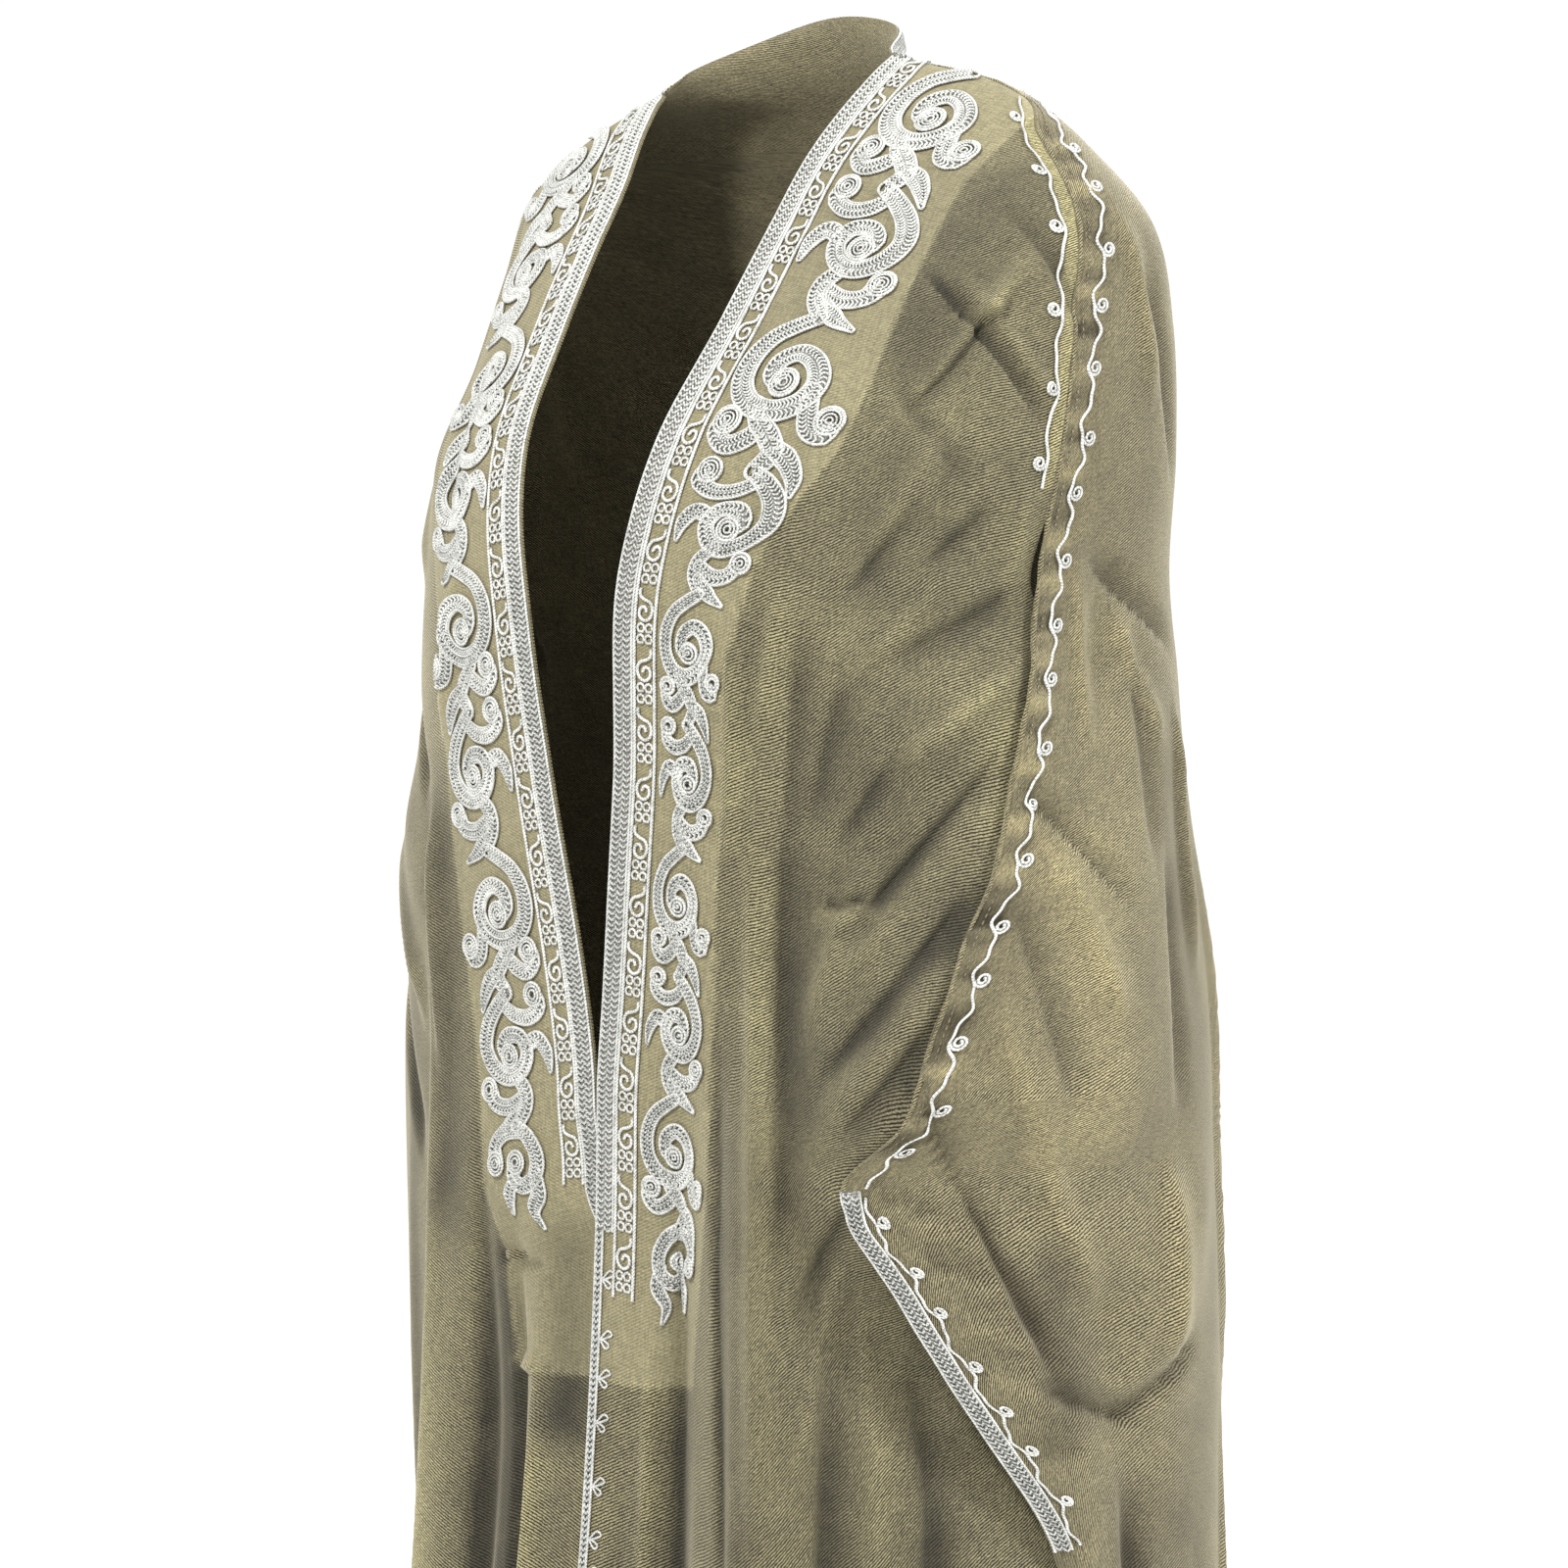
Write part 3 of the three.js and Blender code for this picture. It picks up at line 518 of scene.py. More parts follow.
class CordWork:
    """Cords couched flat on a ground: gathered as tubes, then laid on it in one piece."""

    def __init__(self, ground):
        self.ground, self.points, self.faces, self.twist, self.count = ground, [], [], [], 0

    def cords(self, paths, radius, lift=0.0, sides=5, flatten=1.0, padding=0.0):
        """Tubes along paths of equal point counts; radius is one number or one for each point."""
        paths = np.asarray(paths, float)
        paths = paths.reshape((-1,) + paths.shape[-2:])
        number, length = paths.shape[:2]
        across, _ = sideways(paths)
        radius = np.broadcast_to(radius, (number, length))
        theta = np.arange(sides) * 2 * math.pi / sides + math.pi / 2
        aside = radius[:, :, None] * np.cos(theta)
        flat = paths[:, :, None] + across[:, :, None] * aside[..., None]
        lifted = lift + flatten * radius[:, :, None] * (1 + np.sin(theta))
        rings = np.concatenate([flat, lifted[..., None]], -1)
        twist = np.stack(np.broadcast_arrays(run_along(paths)[:, :, None], theta,
                                             np.full_like(lifted, padding)), -1)
        index = self.count + np.arange(number * length * sides).reshape(number, length, sides)
        a, b = index[:, :-1], index[:, 1:]
        quads = np.stack([a, np.roll(a, -1, 2), np.roll(b, -1, 2), b], -1).reshape(-1, 4)
        caps = np.concatenate([index[:, 0, ::-1], index[:, -1]]).tolist()
        self.points.append(rings.reshape(-1, 3))
        self.twist.append(twist.reshape(-1, 3))
        self.faces += quads.tolist() + [cap[::-1] for cap in caps]
        self.count += number * length * sides

    def links(self, path, width, rows, lift, pitch=2.4, bulge=2.1):
        """Rows of crescent stitches that fill a ribbon of a width along a path."""
        run = run_along(path)
        places = np.arange(pitch * 0.7, run[-1] - pitch * 0.4, pitch)
        if len(places) == 0:
            return
        across, ahead = sideways(path)

        def along(values):
            return np.stack([np.interp(places, run, values[:, k]) for k in range(2)], -1)

        centre, across, ahead = along(path), along(across), along(ahead)
        wide = np.maximum(np.interp(places, run, np.broadcast_to(width, run.shape)) - 2.4, 1.2)
        b = np.array([-0.5, -0.3, 0.0, 0.3, 0.5])
        for row in range(rows):
            middle = ((row + 0.5) / rows - 0.5) * wide
            reach = wide / rows * 0.98
            shift = 0.5 * pitch * (row % 2)
            side = middle[:, None] + reach[:, None] * b
            ahead_by = shift + np.minimum(bulge, reach)[:, None] * (1 - 4 * b**2) - 0.5 * bulge
            link = (centre[:, None] + across[:, None] * side[..., None]
                    + ahead[:, None] * ahead_by[..., None])
            self.cords(link, LINK, lift, 3)

    def bulb(self, centre, radius, lift):
        """A round end filled with rings of the same cord."""
        self.cords(ring(centre, radius - CORD, 17), CORD, lift, 4)
        inner = radius - 2.9
        while inner > 0.7:
            self.cords(ring(centre, inner, 5 + int(2.2 * inner)), 0.95, lift + 0.2, 3)
            inner -= 2.1

    def ribbon(self, points, widths, fit, lift):
        """A ribbon outlined by a cord and filled with crescents, on a low padding; fit places its
        flat points on the ground."""
        path = curve_through(points)
        width = 1.2 * np.interp(np.linspace(0, 1, len(path)), np.linspace(0, 1, len(widths)),
                                widths)
        across, _ = sideways(path)
        left = fit(path + across * width[:, None] / 2)
        right = fit(path - across * width[:, None] / 2)
        steps = fit(path[-1] + np.array([[0, 0], [1, 0], [0, 1]]))
        shrink = math.sqrt(abs(np.linalg.det(steps[1:] - steps[:1])))
        path, width = (left + right) / 2, np.linalg.norm(left - right, axis=1)
        self.cords(path, width / 2 - 0.5, lift, 4, 0.07, 1.0)
        across, ahead = sideways(path)
        inset = np.maximum(width / 2 - 0.8, 0.2)[:, None]
        left, right = path + across * inset, path - across * inset
        turn = np.linspace(0, math.pi, 8)[1:-1, None]
        tip = path[-1] + inset[-1] * (across[-1] * np.cos(turn) + ahead[-1] * np.sin(turn))
        start = path[0] + inset[0] * (-across[0] * np.cos(turn) - ahead[0] * np.sin(turn))
        outline = np.concatenate([left, tip, right[::-1], start, left[:1]])
        self.cords(outline, CORD, lift + 0.3, 4)
        self.links(path, width, 2 if width.max() > TWO_ROWS else 1, lift + 0.35)
        if widths[-1] > ROUND_END:
            self.bulb(path[-1], 0.68 * widths[-1] * shrink, lift + 0.9)

    def build(self, name, material, replaced=(), slot="cord"):
        flat = np.concatenate(self.points)
        points = self.ground.lay(flat)
        faces = [face[::-1] for face in self.faces] if self.ground.mirrored else self.faces
        attributes = {"twist": np.concatenate(self.twist)}
        if slot == "cloth":
            # a rolled edge of cloth: its threads, no doubling, and a little painted light
            attributes = {"thread_mm": flat[:, [1, 0, 2]], "doubled": np.zeros(len(flat)),
                          "painted_light": np.full(len(flat), 0.1)}
        return make_object(name, points, faces, material, replaced, attributes)


# ---------- finishes ----------
def linear(hex_colour):
    """An sRGB hex colour as linear RGBA."""
    parts = [int(hex_colour[i:i + 2], 16) / 255 for i in (1, 3, 5)]
    return tuple(c / 12.92 if c <= 0.04045 else ((c + 0.055) / 1.055)**2.4 for c in parts) + (1.0,)


def new_material(name):
    material = bpy.data.materials.new(name)
    material.use_nodes = True
    material.node_tree.nodes.clear()
    return material, material.node_tree


def add(tree, kind, settings=None, links=None):
    """One node with its settings, and links into it from sockets or from nodes' first sockets."""
    made = tree.nodes.new("ShaderNode" + kind)
    for key, value in (settings or {}).items():
        if isinstance(key, str) and hasattr(made, key):
            setattr(made, key, value)
        else:
            made.inputs[key].default_value = value
    for key, source in (links or {}).items():
        first = source.outputs[0] if isinstance(source, bpy.types.Node) else source
        tree.links.new(first, made.inputs[key])
    return made


def twill(name, shaded, plain, lit, doubled, glow):
    """Light wool-and-silk twill, woven with a hard crepe-twisted weft, washed and pressed: matt,
    with fine slanting ribs and a dry sheen along the folds, from the surface's sheen and from
    painted light on their ridges. Real ribs lie about 1 mm apart; these are drawn at 1.5 mm so that
    they show from a step away."""
    rib_pitch, rib_slant = 1.5, math.radians(36)
    slub, grain_width, patch = 1 / 0.62, 1.25, 50
    material, tree = new_material(name)
    thread, band, painted_light = [
        add(tree, "Attribute", {"attribute_name": key}).outputs[socket]
        for key, socket in (("thread_mm", "Vector"), ("doubled", "Fac"), ("painted_light", "Fac"))]
    slanted = add(tree, "Mapping", {"Rotation": (0, 0, rib_slant)}, {"Vector": thread})
    ribs = add(tree, "TexWave", {"bands_direction": "Y", "Scale": 2 * math.pi / (20 * rib_pitch),
                                 "Distortion": 2.4, "Detail": 2, "Detail Scale": 1.6,
                                 "Detail Roughness": 0.6}, {"Vector": slanted})
    yarns = []
    for stretch in ((0.16, 1.25, 1), (1.25, 0.13, 1)):  # weft, then warp
        drawn = add(tree, "VectorMath", {"operation": "MULTIPLY", 1: stretch}, {0: thread})
        yarns.append(add(tree, "TexNoise", {"Scale": 1 / slub, "Detail": 2, "Roughness": 0.6},
                         {"Vector": drawn}))
    slubs = add(tree, "Mix", {"Factor": 0.5}, {2: yarns[0], 3: yarns[1]})
    grain = add(tree, "TexNoise", {"Scale": 1 / grain_width, "Detail": 3, "Roughness": 0.75},
                {"Vector": thread})
    clouds = add(tree, "TexNoise", {"Scale": 1 / patch, "Detail": 5, "Roughness": 0.6},
                 {"Vector": thread})
    # colour: from painted shade through plain to painted light by the painted light attribute,
    # uneven at random, and its own on the doubled band
    uneven = add(tree, "MapRange", {"From Min": 0.3, "From Max": 0.7, "To Min": -0.22,
                                    "To Max": 0.22}, {"Value": clouds})
    toned = add(tree, "Math", {"operation": "ADD"}, {0: painted_light, 1: uneven})
    below, above = [add(tree, "MapRange", {"From Min": low, "From Max": low + 1},
                        {"Value": toned}) for low in (-1, 0)]
    dark = add(tree, "Mix", {"data_type": "RGBA", 6: linear(shaded), 7: linear(plain)},
               {"Factor": below})
    bright = add(tree, "Mix", {"data_type": "RGBA", 7: linear(lit)},
                 {"Factor": above, 6: dark.outputs[2]})
    ground = add(tree, "Mix", {"data_type": "RGBA", 7: linear(doubled)},
                 {"Factor": band, 6: bright.outputs[2]})
    # the weave's light and dark, calmer where the cloth is doubled, rubbed light on its edge, and
    # on the doubled band the painted light and shade made stronger
    rib_share = add(tree, "MapRange", {"To Min": 0.42, "To Max": 0.2}, {"Value": band})
    weave = add(tree, "Mix", None, {"Factor": rib_share, 2: slubs, 3: ribs.outputs["Fac"]})
    woven = add(tree, "MapRange", {"From Min": 0.32, "From Max": 0.68, "To Min": 0,
                                   "To Max": 2.15}, {"Value": weave})
    grained = add(tree, "MapRange", {"From Min": 0.3, "From Max": 0.7, "To Min": 0.35,
                                     "To Max": 1.75}, {"Value": grain})
    edge = add(tree, "Math", {"operation": "PINGPONG", 1: 0.5}, {0: band})
    rubbed = add(tree, "MapRange", {"From Max": 0.5, "To Min": 1, "To Max": 1.22},
                 {"Value": edge})
    # painted light and shade once more on the doubled band: its colour times 1 + 0.4 of the painted
    # light; worn carries this with the rubbed edge
    leaning = add(tree, "Math", {"operation": "MULTIPLY_ADD", 1: 0.4, 2: 1}, {0: painted_light})
    lean = add(tree, "Mix", {2: 1}, {"Factor": band, 3: leaning})
    worn = add(tree, "Math", {"operation": "MULTIPLY"}, {0: rubbed, 1: lean})
    strength = worn
    for pattern in (woven, grained):
        strength = add(tree, "Math", {"operation": "MULTIPLY"}, {0: pattern, 1: strength})
    calm = add(tree, "Math", {"operation": "MULTIPLY", 1: 0.6}, {0: band})
    calmed = add(tree, "Mix", None, {"Factor": calm, 2: strength, 3: worn})
    colour = add(tree, "VectorMath", {"operation": "SCALE"},
                 {0: ground.outputs[2], "Scale": calmed})
    relief = add(tree, "Math", {"operation": "ADD"}, {0: weave, 1: grain})
    bump = add(tree, "Bump", {"Strength": 0.6, "Distance": 0.0005}, {"Height": relief})
    surface = add(tree, "BsdfPrincipled",
                  {"Roughness": 0.8, "Specular IOR Level": 0.25, "Sheen Weight": glow,
                   "Sheen Roughness": 0.45, "Sheen Tint": linear("#fff6da")},
                  {"Base Color": colour, "Normal": bump})
    add(tree, "OutputMaterial", None, {"Surface": surface})
    return material


def twisted_cord(name, hollow, strand, padding):
    """Two strands twisted together and couched down: softly glossy, with painted shade in the
    hollows between the turns, over a padding thread of its own colour. The turns are drawn at 1.8
    mm, and its worn places are about 4 mm across."""
    turn_pitch, worn_scale = 1.8, 240.0
    material, tree = new_material(name)
    twist = add(tree, "Attribute", {"attribute_name": "twist"}).outputs["Vector"]
    parts = add(tree, "SeparateXYZ", None, {0: twist})
    turns = add(tree, "Math", {"operation": "MULTIPLY", 1: 2 * math.pi / turn_pitch}, {0: parts})
    phase = add(tree, "Math", {"operation": "ADD"}, {0: turns, 1: parts.outputs[1]})
    wave = add(tree, "Math", {"operation": "SINE"}, {0: phase})
    where = add(tree, "TexCoord").outputs["Object"]
    worn = add(tree, "TexNoise", {"Scale": worn_scale, "Detail": 3, "Roughness": 0.7},
               {"Vector": where})
    both = add(tree, "Math", {"operation": "MULTIPLY_ADD", 1: 0.16}, {0: wave, 2: worn})
    spread = add(tree, "MapRange", {"From Min": 0.22, "From Max": 0.6}, {"Value": both})
    # hollow is painted shade between the turns and in the worn speckle; strand is the cord's own
    # colour
    bright = add(tree, "Mix", {"data_type": "RGBA", 6: linear(hollow), 7: linear(strand)},
                 {"Factor": spread})
    colour = add(tree, "Mix", {"data_type": "RGBA", 7: linear(padding)},
                 {"Factor": parts.outputs[2], 6: bright.outputs[2]})
    bump = add(tree, "Bump", {"Strength": 0.5, "Distance": 0.0003}, {"Height": wave})
    surface = add(tree, "BsdfPrincipled",
                  {"Roughness": 0.4, "Specular IOR Level": 0.6, "Sheen Weight": 0.2},
                  {"Base Color": colour.outputs[2], "Normal": bump})
    add(tree, "OutputMaterial", None, {"Surface": surface})
    return material


# Each twill gets a painted-shade colour, a plain one, a painted-light one and one for the doubled
# band.
cloth_finish = twill("wool and silk twill, woven, single",
                     "#242117", "#514c38", "#716b4c", "#6c664e", 0.3)
sleeve_finish = twill("wool and silk twill, woven, over the arm",
                      "#2a2518", "#56503c", "#726a4d", "#756d50", 0.35)
facing_finish = twill("wool and silk twill, woven, turned inside",
                      "#4a4532", "#5f583f", "#756d4f", "#756d4f", 0.25)
cord_finish = twisted_cord("silvered rayon cord, twisted", "#777771", "#bebeb9", "#8f8d85")
thread_finish = twisted_cord("cotton sewing thread, spun", "#2e2717", "#6b5f42", "#4a4230")

# ---------- panels ----------
SIDES = [("left", 1), ("right", -1)]
# Distances in from an edge, at which the cloth has columns or flat work is laid on it.
MARK = 2.5
EDGE_MARKS = np.arange(0, EMBROIDERED + 0.1, EMBROIDERED / 22)
WIDE_MARKS = np.arange(0, 126, MARK)
BORDER = np.arange(0, 31, MARK)
NECK_MARKS = np.arange(0, 36, MARK)
PLAIN_COLUMNS, BACK_COLUMNS = 101, 152
BACK_FULL = 260  # a back row shorter than this has a narrower border
edge_ground, seam_ground = {}, {}
for side, hand in SIDES:
    rows = front_rows(hand)
    length = run_along(rows)[:, -1:]
    scale = np.minimum(1, CREST_SHARE * length / EMBROIDERED)
    plain = np.linspace(0, 1, PLAIN_COLUMNS + 1)[1:]
    marks = np.concatenate([EDGE_MARKS * scale, mix(EMBROIDERED * scale, length, plain)], 1)
    grid = resample(rows, marks)
    edge_ground[side] = Ground(rows, np.minimum(WIDE_MARKS * scale, length), WIDE_MARKS, hand < 0)
    seam_ground[side] = Ground(rows, length - BORDER, BORDER, hand > 0)
    level = grid[:, :, 2]
    reach = read(DOUBLED, side, level) - marks * (1 / scale)
    doubled = smooth(reach / 5 + 0.5) * smooth((level - FACING_FOOT) / 6)
    # painted light: a lighter strip on the front within about 9 mm of the arm seam, above the tuck
    painted_light_by_seam = smooth((9 - (length - marks)) / 3) * smooth((level - TUCK_TOP) / 12)
    front = shell(f"front_{side}_cloth", grid, CLOTH, cloth_finish, [f"front_{side}"],
                  doubled, shade=0.9 * painted_light_by_seam)
    faced = grid[level[:, 0] > FACING_FOOT + 2][::2, :len(EDGE_MARKS)]
    inside = shell(f"facing_{side}_cloth", faced, FACING, facing_finish,
                   [f"facing_{side}"], inset=CLOTH + FACING_GAP)

rows = back_rows()
length = run_along(rows)[:, -1:]
scale = np.minimum(1, length / BACK_FULL)
share = np.linspace(0, 1, BACK_COLUMNS + 2)[1:-1]
share = 0.35 * share + 0.65 * share**1.7  # closer together over the left sleeve
border = BORDER[-1] * scale
marks = np.concatenate([BORDER * scale, mix(border, length - border, share),
                        length - BORDER[::-1] * scale], 1)
back = resample(rows, marks)
puckers = seam_crinkle(back, np.minimum(marks, length - marks))
back += outward(back) * puckers[..., None]
# the puckers also get painted light on their ridges and painted shade in their troughs
cloth_back = shell("back_cloth", back, CLOTH, sleeve_finish, ["back"],
                   shade=0.45 * puckers)
sleeve_ground = {"left": Ground(rows, BORDER, BORDER),
                 "right": Ground(rows, length - BORDER, BORDER, True)}
neck_ground = Ground(np.swapaxes(rows[:60, ::5], 0, 1), NECK_MARKS, NECK_MARKS)


# ---------- camera, light and floor ----------
def studio():
    scene = bpy.context.scene
    camera = bpy.data.cameras.new("camera")
    camera.sensor_width = 36
    camera.lens = 80.1
    camera.clip_end = 50
    viewer = bpy.data.objects.new("camera", camera)
    turn, distance, height, aside = math.radians(40), 2.030, -0.412, 0.005
    viewer.location = (distance * math.sin(turn) + aside * math.cos(turn),
                       -distance * math.cos(turn) + aside * math.sin(turn), height)
    viewer.rotation_euler = (math.pi / 2, 0, turn)
    scene.collection.objects.link(viewer)
    scene.camera = viewer
    world = bpy.data.worlds.new("pale studio")
    world.use_nodes = True
    sky = world.node_tree.nodes["Background"].inputs
    sky["Color"].default_value, sky["Strength"].default_value = linear("#ffffff"), 1.06
    scene.world = world
    scene.view_settings.view_transform = "Standard"
    lamps = [("key", (0.5, -2.7, 2.0), 0.6, 175), ("side", (2.7, 0.1, 0.9), 0.9, 70),
             ("back", (-0.8, 2.8, 0.8), 1.6, 50)]
    for name, where, size, power in lamps:
        lamp = bpy.data.lights.new(name, "AREA")
        lamp.size, lamp.energy = size, power
        holder = bpy.data.objects.new(name, lamp)
        holder.location = where
        aim = Vector((0, 0, -0.5)) - Vector(where)
        holder.rotation_euler = aim.to_track_quat("-Z", "Y").to_euler()
        scene.collection.objects.link(holder)
    bpy.ops.mesh.primitive_plane_add(size=60, location=(0, 0, -1.52))
    floor = bpy.context.object
    floor.name = "floor"
    material, tree = new_material("pale studio floor")
    surface = add(tree, "BsdfPrincipled", {"Base Color": linear("#fbfbfa"), "Roughness": 0.9})
    add(tree, "OutputMaterial", None, {"Surface": surface})
    floor.data.materials.append(material)


studio()

# ---------- embroidery ----------
BRAID, LOW_BRAID, CUFF_BRAID, LOW_BRAID_TOP = 13.6, 6.4, 11.3, -655
BAND_MIDDLE, BAND_HALF, BAND_UNIT = 21.6, 6.7, 31.0
BAND_FOOT = {"left": -690, "right": -632}
VINE_FROM, VINE_WIDTH = 29.5, 64.0
VINE_FOOT = {"left": -696, "right": -652}
INNER_CORD_FOOT = -258
# Each unit of the vine: its length, then its strokes as (points along and across, widths), in
# millimetres along the front's edge and in from the narrow band.
GREAT_SPIRAL = (88.0, [
    ([(0, 30), (6, 20), (14, 10), (27, 4), (42, 5), (53, 14), (56, 28), (50, 40), (38, 45),
      (27, 40), (22, 30), (27, 21), (35, 20), (40, 28)],
     [8, 8.5, 9, 10, 10.5, 10.5, 10.5, 10.5, 10, 10, 9.5, 9, 9.5, 12.5]),
    ([(53, 18), (62, 24), (70, 32), (78, 36), (88, 30)], [8, 9.5, 10, 9.5, 8]),
    ([(42, 44), (54, 46), (64, 50), (66, 57), (58, 58)], [7, 8.5, 9, 9, 12]),
    ([(74, 34), (80, 44), (88, 50), (98, 54)], [8, 10, 8, 3]),
    ([(64, 27), (72, 20), (76, 11), (70, 4), (63, 7)], [7.5, 9, 9, 9, 12]),
])
LEAFY = (84.0, [
    ([(0, 30), (8, 40), (20, 50), (34, 54), (47, 48), (53, 36), (49, 24), (38, 18), (28, 23),
      (27, 33), (34, 38), (40, 33)],
     [8, 9, 10, 10.5, 10.5, 10.5, 10, 9.5, 9, 9, 9.5, 12]),
    ([(52, 30), (62, 22), (72, 22), (84, 30)], [8, 9.5, 9.5, 8]),
    ([(6, 36), (14, 26), (16, 14), (10, 5), (2, 8)], [7, 8.5, 9, 9, 12]),
    ([(34, 19), (30, 9), (38, 2), (50, 0)], [8, 9.5, 8, 3]),
    ([(66, 24), (72, 36), (70, 48), (61, 54)], [8, 9.5, 9.5, 12]),
    ([(74, 26), (84, 38), (90, 50)], [7.5, 9, 3]),
])
FINIAL = (62.0, [
    ([(0, 30), (8, 20), (20, 14), (32, 16), (38, 26), (32, 34), (23, 31)],
     [8, 9, 9.5, 9.5, 9, 9, 12]),
    ([(28, 16), (42, 14), (54, 22), (66, 20)], [8, 10, 8, 3]),
    ([(4, 26), (4, 40), (12, 50), (24, 50)], [7, 9, 9, 12]),
    ([(34, 34), (44, 40), (56, 42)], [7.5, 9, 3]),
])
BAND_FLAT = 0.82  # the scrolls of the narrow band, squeezed across it
SCROLL = [(-1.5, -5.4), (2.5, -5.2), (4.6, -1.5), (6, 3.2), (9.6, 5.6), (14, 4.2), (15.8, -0.4),
          (13.4, -4.6), (9.4, -4.2), (8.6, -0.6), (11.2, 1.2)]
RINGS = [(19.8, -3.2), (19.8, 3.3), (25.8, -3.3), (25.8, 3.2)]


def straight(start, end, across, step=3.0):
    count = max(2, int((end - start) / step))
    return np.stack([np.linspace(start, end, count), np.full(count, float(across))], -1)


def link_braid(work, start, end, width, rows, pitch=3.3):
    """A flat braid beside an edge: rows of chain links between two cords, on a padding."""
    first = 0.2
    middle = first + width / 2
    for across in (first + 0.8, first + width - 0.8):
        work.cords(straight(start, end, across), 0.85, 0.25)
    work.cords(straight(start, end, middle), width / 2 - 0.6, 0.0, 6, 0.06, 1.0)
    work.links(straight(start, end, middle, 2.0), width - 0.4, rows, 0.4, pitch, 2.6)


def narrow_band(work, start, end):
    """Scrolls and rings between two cords, each unit turned over from the one before."""
    for across in (BAND_MIDDLE - BAND_HALF, BAND_MIDDLE + BAND_HALF):
        work.cords(straight(start, end, across), 1.0)
    count = int((end - start) / BAND_UNIT)
    scale = (end - start) / (count * BAND_UNIT)
    scroll = curve_through(SCROLL, 1.1)
    for k in range(count):
        origin = np.array([start + k * BAND_UNIT * scale, BAND_MIDDLE])
        turned = np.array([1, BAND_FLAT if k % 2 else -BAND_FLAT])
        work.cords(scroll * turned + origin, 0.98)
        for centre in RINGS:
            work.cords(ring(centre * turned + origin, 2.25), 0.82, 0, 4)


def vine(work, start, end, widen):
    """The leafy stem with its spirals: two units by turns and a last one, each as wide as the
    doubled band lets it be."""
    units, drawn, last_room = [], start, 70
    while drawn < end - last_room:
        length, strokes = (GREAT_SPIRAL, LEAFY)[len(units) % 2]
        size = float(np.clip(widen(np.array([drawn + 0.5 * length]))[0], 0.8, 1.08))
        units.append((length * size, size, strokes))
        drawn += length * size
    units.append((FINIAL[0] * size, size, FINIAL[1]))
    stretch = (end - start) / sum(each[0] for each in units)
    origin = start
    for length, size, strokes in units:
        def fit(flat, origin=origin, run=size * stretch):
            s = origin + flat[:, 0] * run
            return np.stack([s, VINE_FROM + 4 + flat[:, 1] * widen(s)], -1)

        for order, (points, widths) in enumerate(strokes):
            work.ribbon(points, widths, fit, 0.3 if order == 0 else 0.0)
        origin += length * stretch


def coiled_cord(work, start, end, across, sway, spacing, coil=4.4):
    """A twisted cord that wanders down the cloth and throws a small coil at each turn."""
    def wander(s):
        turn = 2 * math.pi * s / spacing
        return across + sway * (np.sin(turn) + 0.35 * np.sin(turn / 0.41 + 1))

    s = np.arange(start, end, 1.5)
    work.cords(np.stack([s, wander(s)], -1), CORD, 0.1)
    turn = np.linspace(0, 3.5 * math.pi, 26)
    radius = np.linspace(coil, 1.0, 26)
    for k, at in enumerate(np.arange(start + 0.45 * spacing, end - 6, spacing)):
        at = at + 2.5 * math.sin(2.3 * k)
        middle = wander(at) + coil + 0.6
        path = np.stack([at + radius * np.sin(turn), middle - radius * np.cos(turn)], -1)
        work.cords(path, 0.85, 0.15)


def stitches(work, start, end, across):
    pitch, length = 4.2, 2.4
    for at in np.arange(start, end, pitch):
        work.cords(np.array([[at, across], [at + length, across + 0.15]]), 0.42, -0.1, 4)


def rolled_edge(ground, name, start, end):
    """The cloth's edge turned over in a soft roll, as it is felled down at the seam."""
    roll = CordWork(ground)
    path = straight(start, end, 1.5)
    uneven = np.sin(path[:, 0] / 11) + np.sin(path[:, 0] / 4.3 + 1) + np.sin(path[:, 0] / 2.9)
    path[:, 1] += 0.25 * np.sin(path[:, 0] / 17)
    roll.cords(path, 1.2 + 0.2 * uneven, -0.9, 8, 0.75)
    roll.build(name, sleeve_finish, slot="cloth")


def loops(work, start, end, across):
    """Small pointed loops in pairs beside the narrow edge braid."""
    for k, at in enumerate(np.arange(start, end, 27.0)):
        at += 5 * math.sin(1.7 * k)
        for lean, reach in ((-3.5, 8.5), (2.5, 6.5)):
            half_way, tip = across + 0.6 * reach, across + reach
            loop = [(at, across), (at + lean - 1.6, half_way), (at + lean, tip),
                    (at + lean + 2.0, half_way), (at + 0.8, across)]
            work.cords(curve_through(loop, 1.2), 0.7, 0.1, 4)


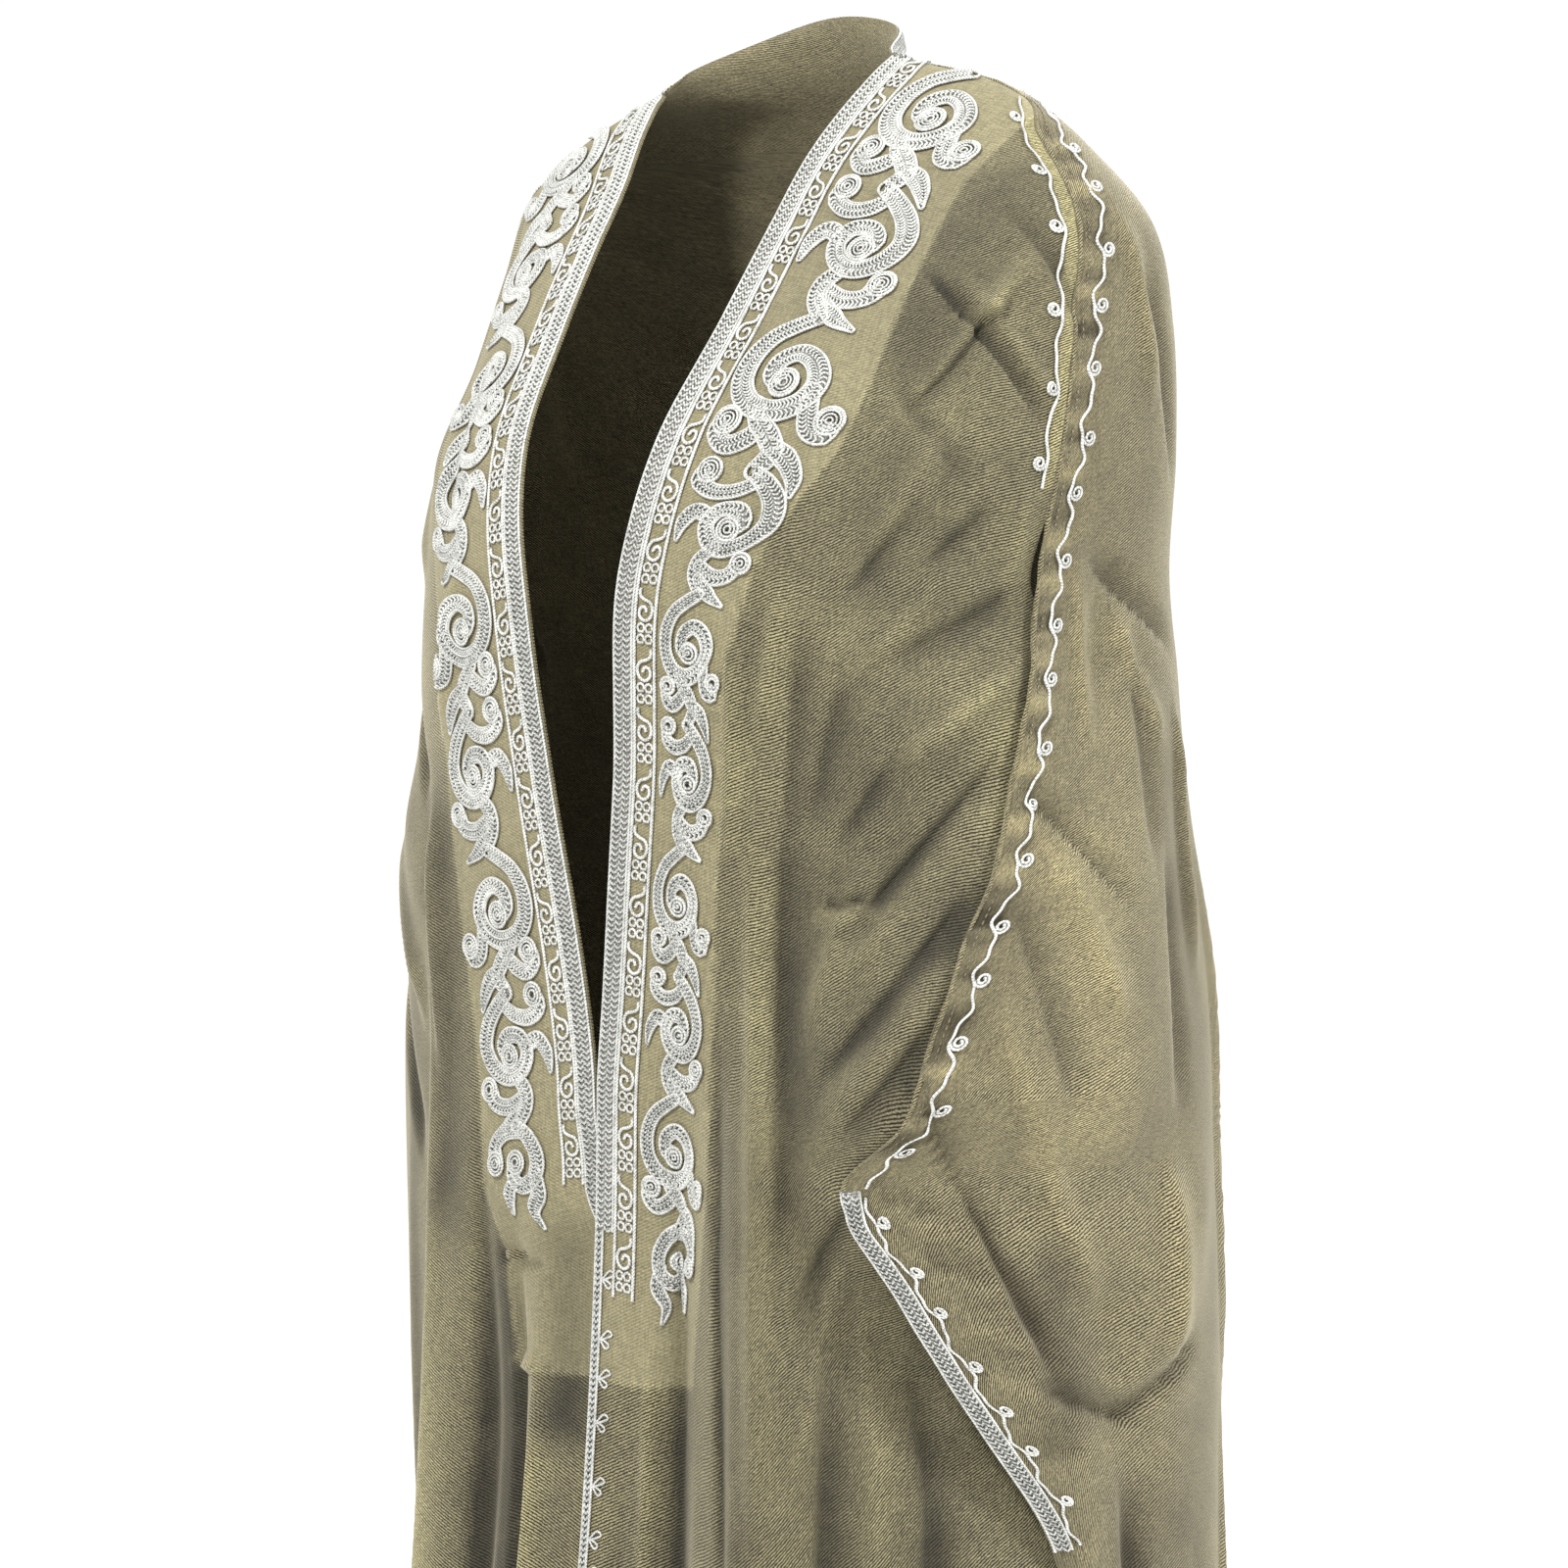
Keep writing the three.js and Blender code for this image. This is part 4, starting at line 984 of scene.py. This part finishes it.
for side, hand in SIDES:
    ground = edge_ground[side]
    braid = CordWork(ground)
    wide_end, low_end = ground.at_level(LOW_BRAID_TOP), ground.at_level(HEM) - 1
    link_braid(braid, 0.8, wide_end, BRAID, 2)
    link_braid(braid, wide_end, low_end, LOW_BRAID, 1)
    loops(braid, wide_end + 26, low_end - 12, LOW_BRAID + 0.2)
    braid.build(f"braid_{side}_cord", cord_finish, [f"braid_{side}"])
    band = CordWork(ground)
    narrow_band(band, 1.0, ground.at_level(BAND_FOOT[side]))
    band.build(f"band_{side}_cord", cord_finish)
    foliage = CordWork(ground)

    def widen(s, side=side, ground=ground):
        level = np.interp(s, ground.along, ground.grid[:, 0, 2])
        room = read(DOUBLED, side, level) - VINE_FROM - 8
        return np.clip(room / (VINE_WIDTH - 2), 0.5, 1.15)

    vine(foliage, 6.0, ground.at_level(VINE_FOOT[side]), widen)
    foliage.build(f"vine_{side}_cord", cord_finish)

    # arm seam and cuff
    sleeve, seam = sleeve_ground[side], seam_ground[side]
    cuff_top, cuff_foot = sleeve.at_level(CUFF_TOP), sleeve.at_level(CUFF_FOOT)
    cuff = CordWork(sleeve)
    link_braid(cuff, cuff_top, cuff_foot, CUFF_BRAID, 2, 3.0)
    coiled_cord(cuff, cuff_top + 4, cuff_foot - 2, 14.6, 1.8, 29, 3.6)
    cuff.build(f"cuff_{side}_cord", cord_finish, [f"cuff_{side}"])
    trail = CordWork(sleeve)
    coiled_cord(trail, 14, cuff_top - 1, 14.0, 2.6, 34)
    trail.build(f"arm_{side}_outer_cord", cord_finish)
    felled = CordWork(sleeve)
    stitches(felled, 30, cuff_top - 4, 6.5)
    felled.build(f"arm_{side}_stitches", thread_finish)
    inner = CordWork(seam)
    coiled_cord(inner, 12, seam.at_level(INNER_CORD_FOOT), 8.6, 1.4, 44, 4.0)
    inner.build(f"arm_{side}_inner_cord", cord_finish)
    rolled_edge(sleeve, f"arm_{side}_rolled_edge", 34, cuff_top)

neck = CordWork(neck_ground)
end = neck_ground.along[-1]
link_braid(neck, 0.8, end - 0.8, BRAID, 2)
narrow_band(neck, 1.0, end - 1.0)
neck.build("braid_neck_cord", cord_finish, ["braid_neck"])
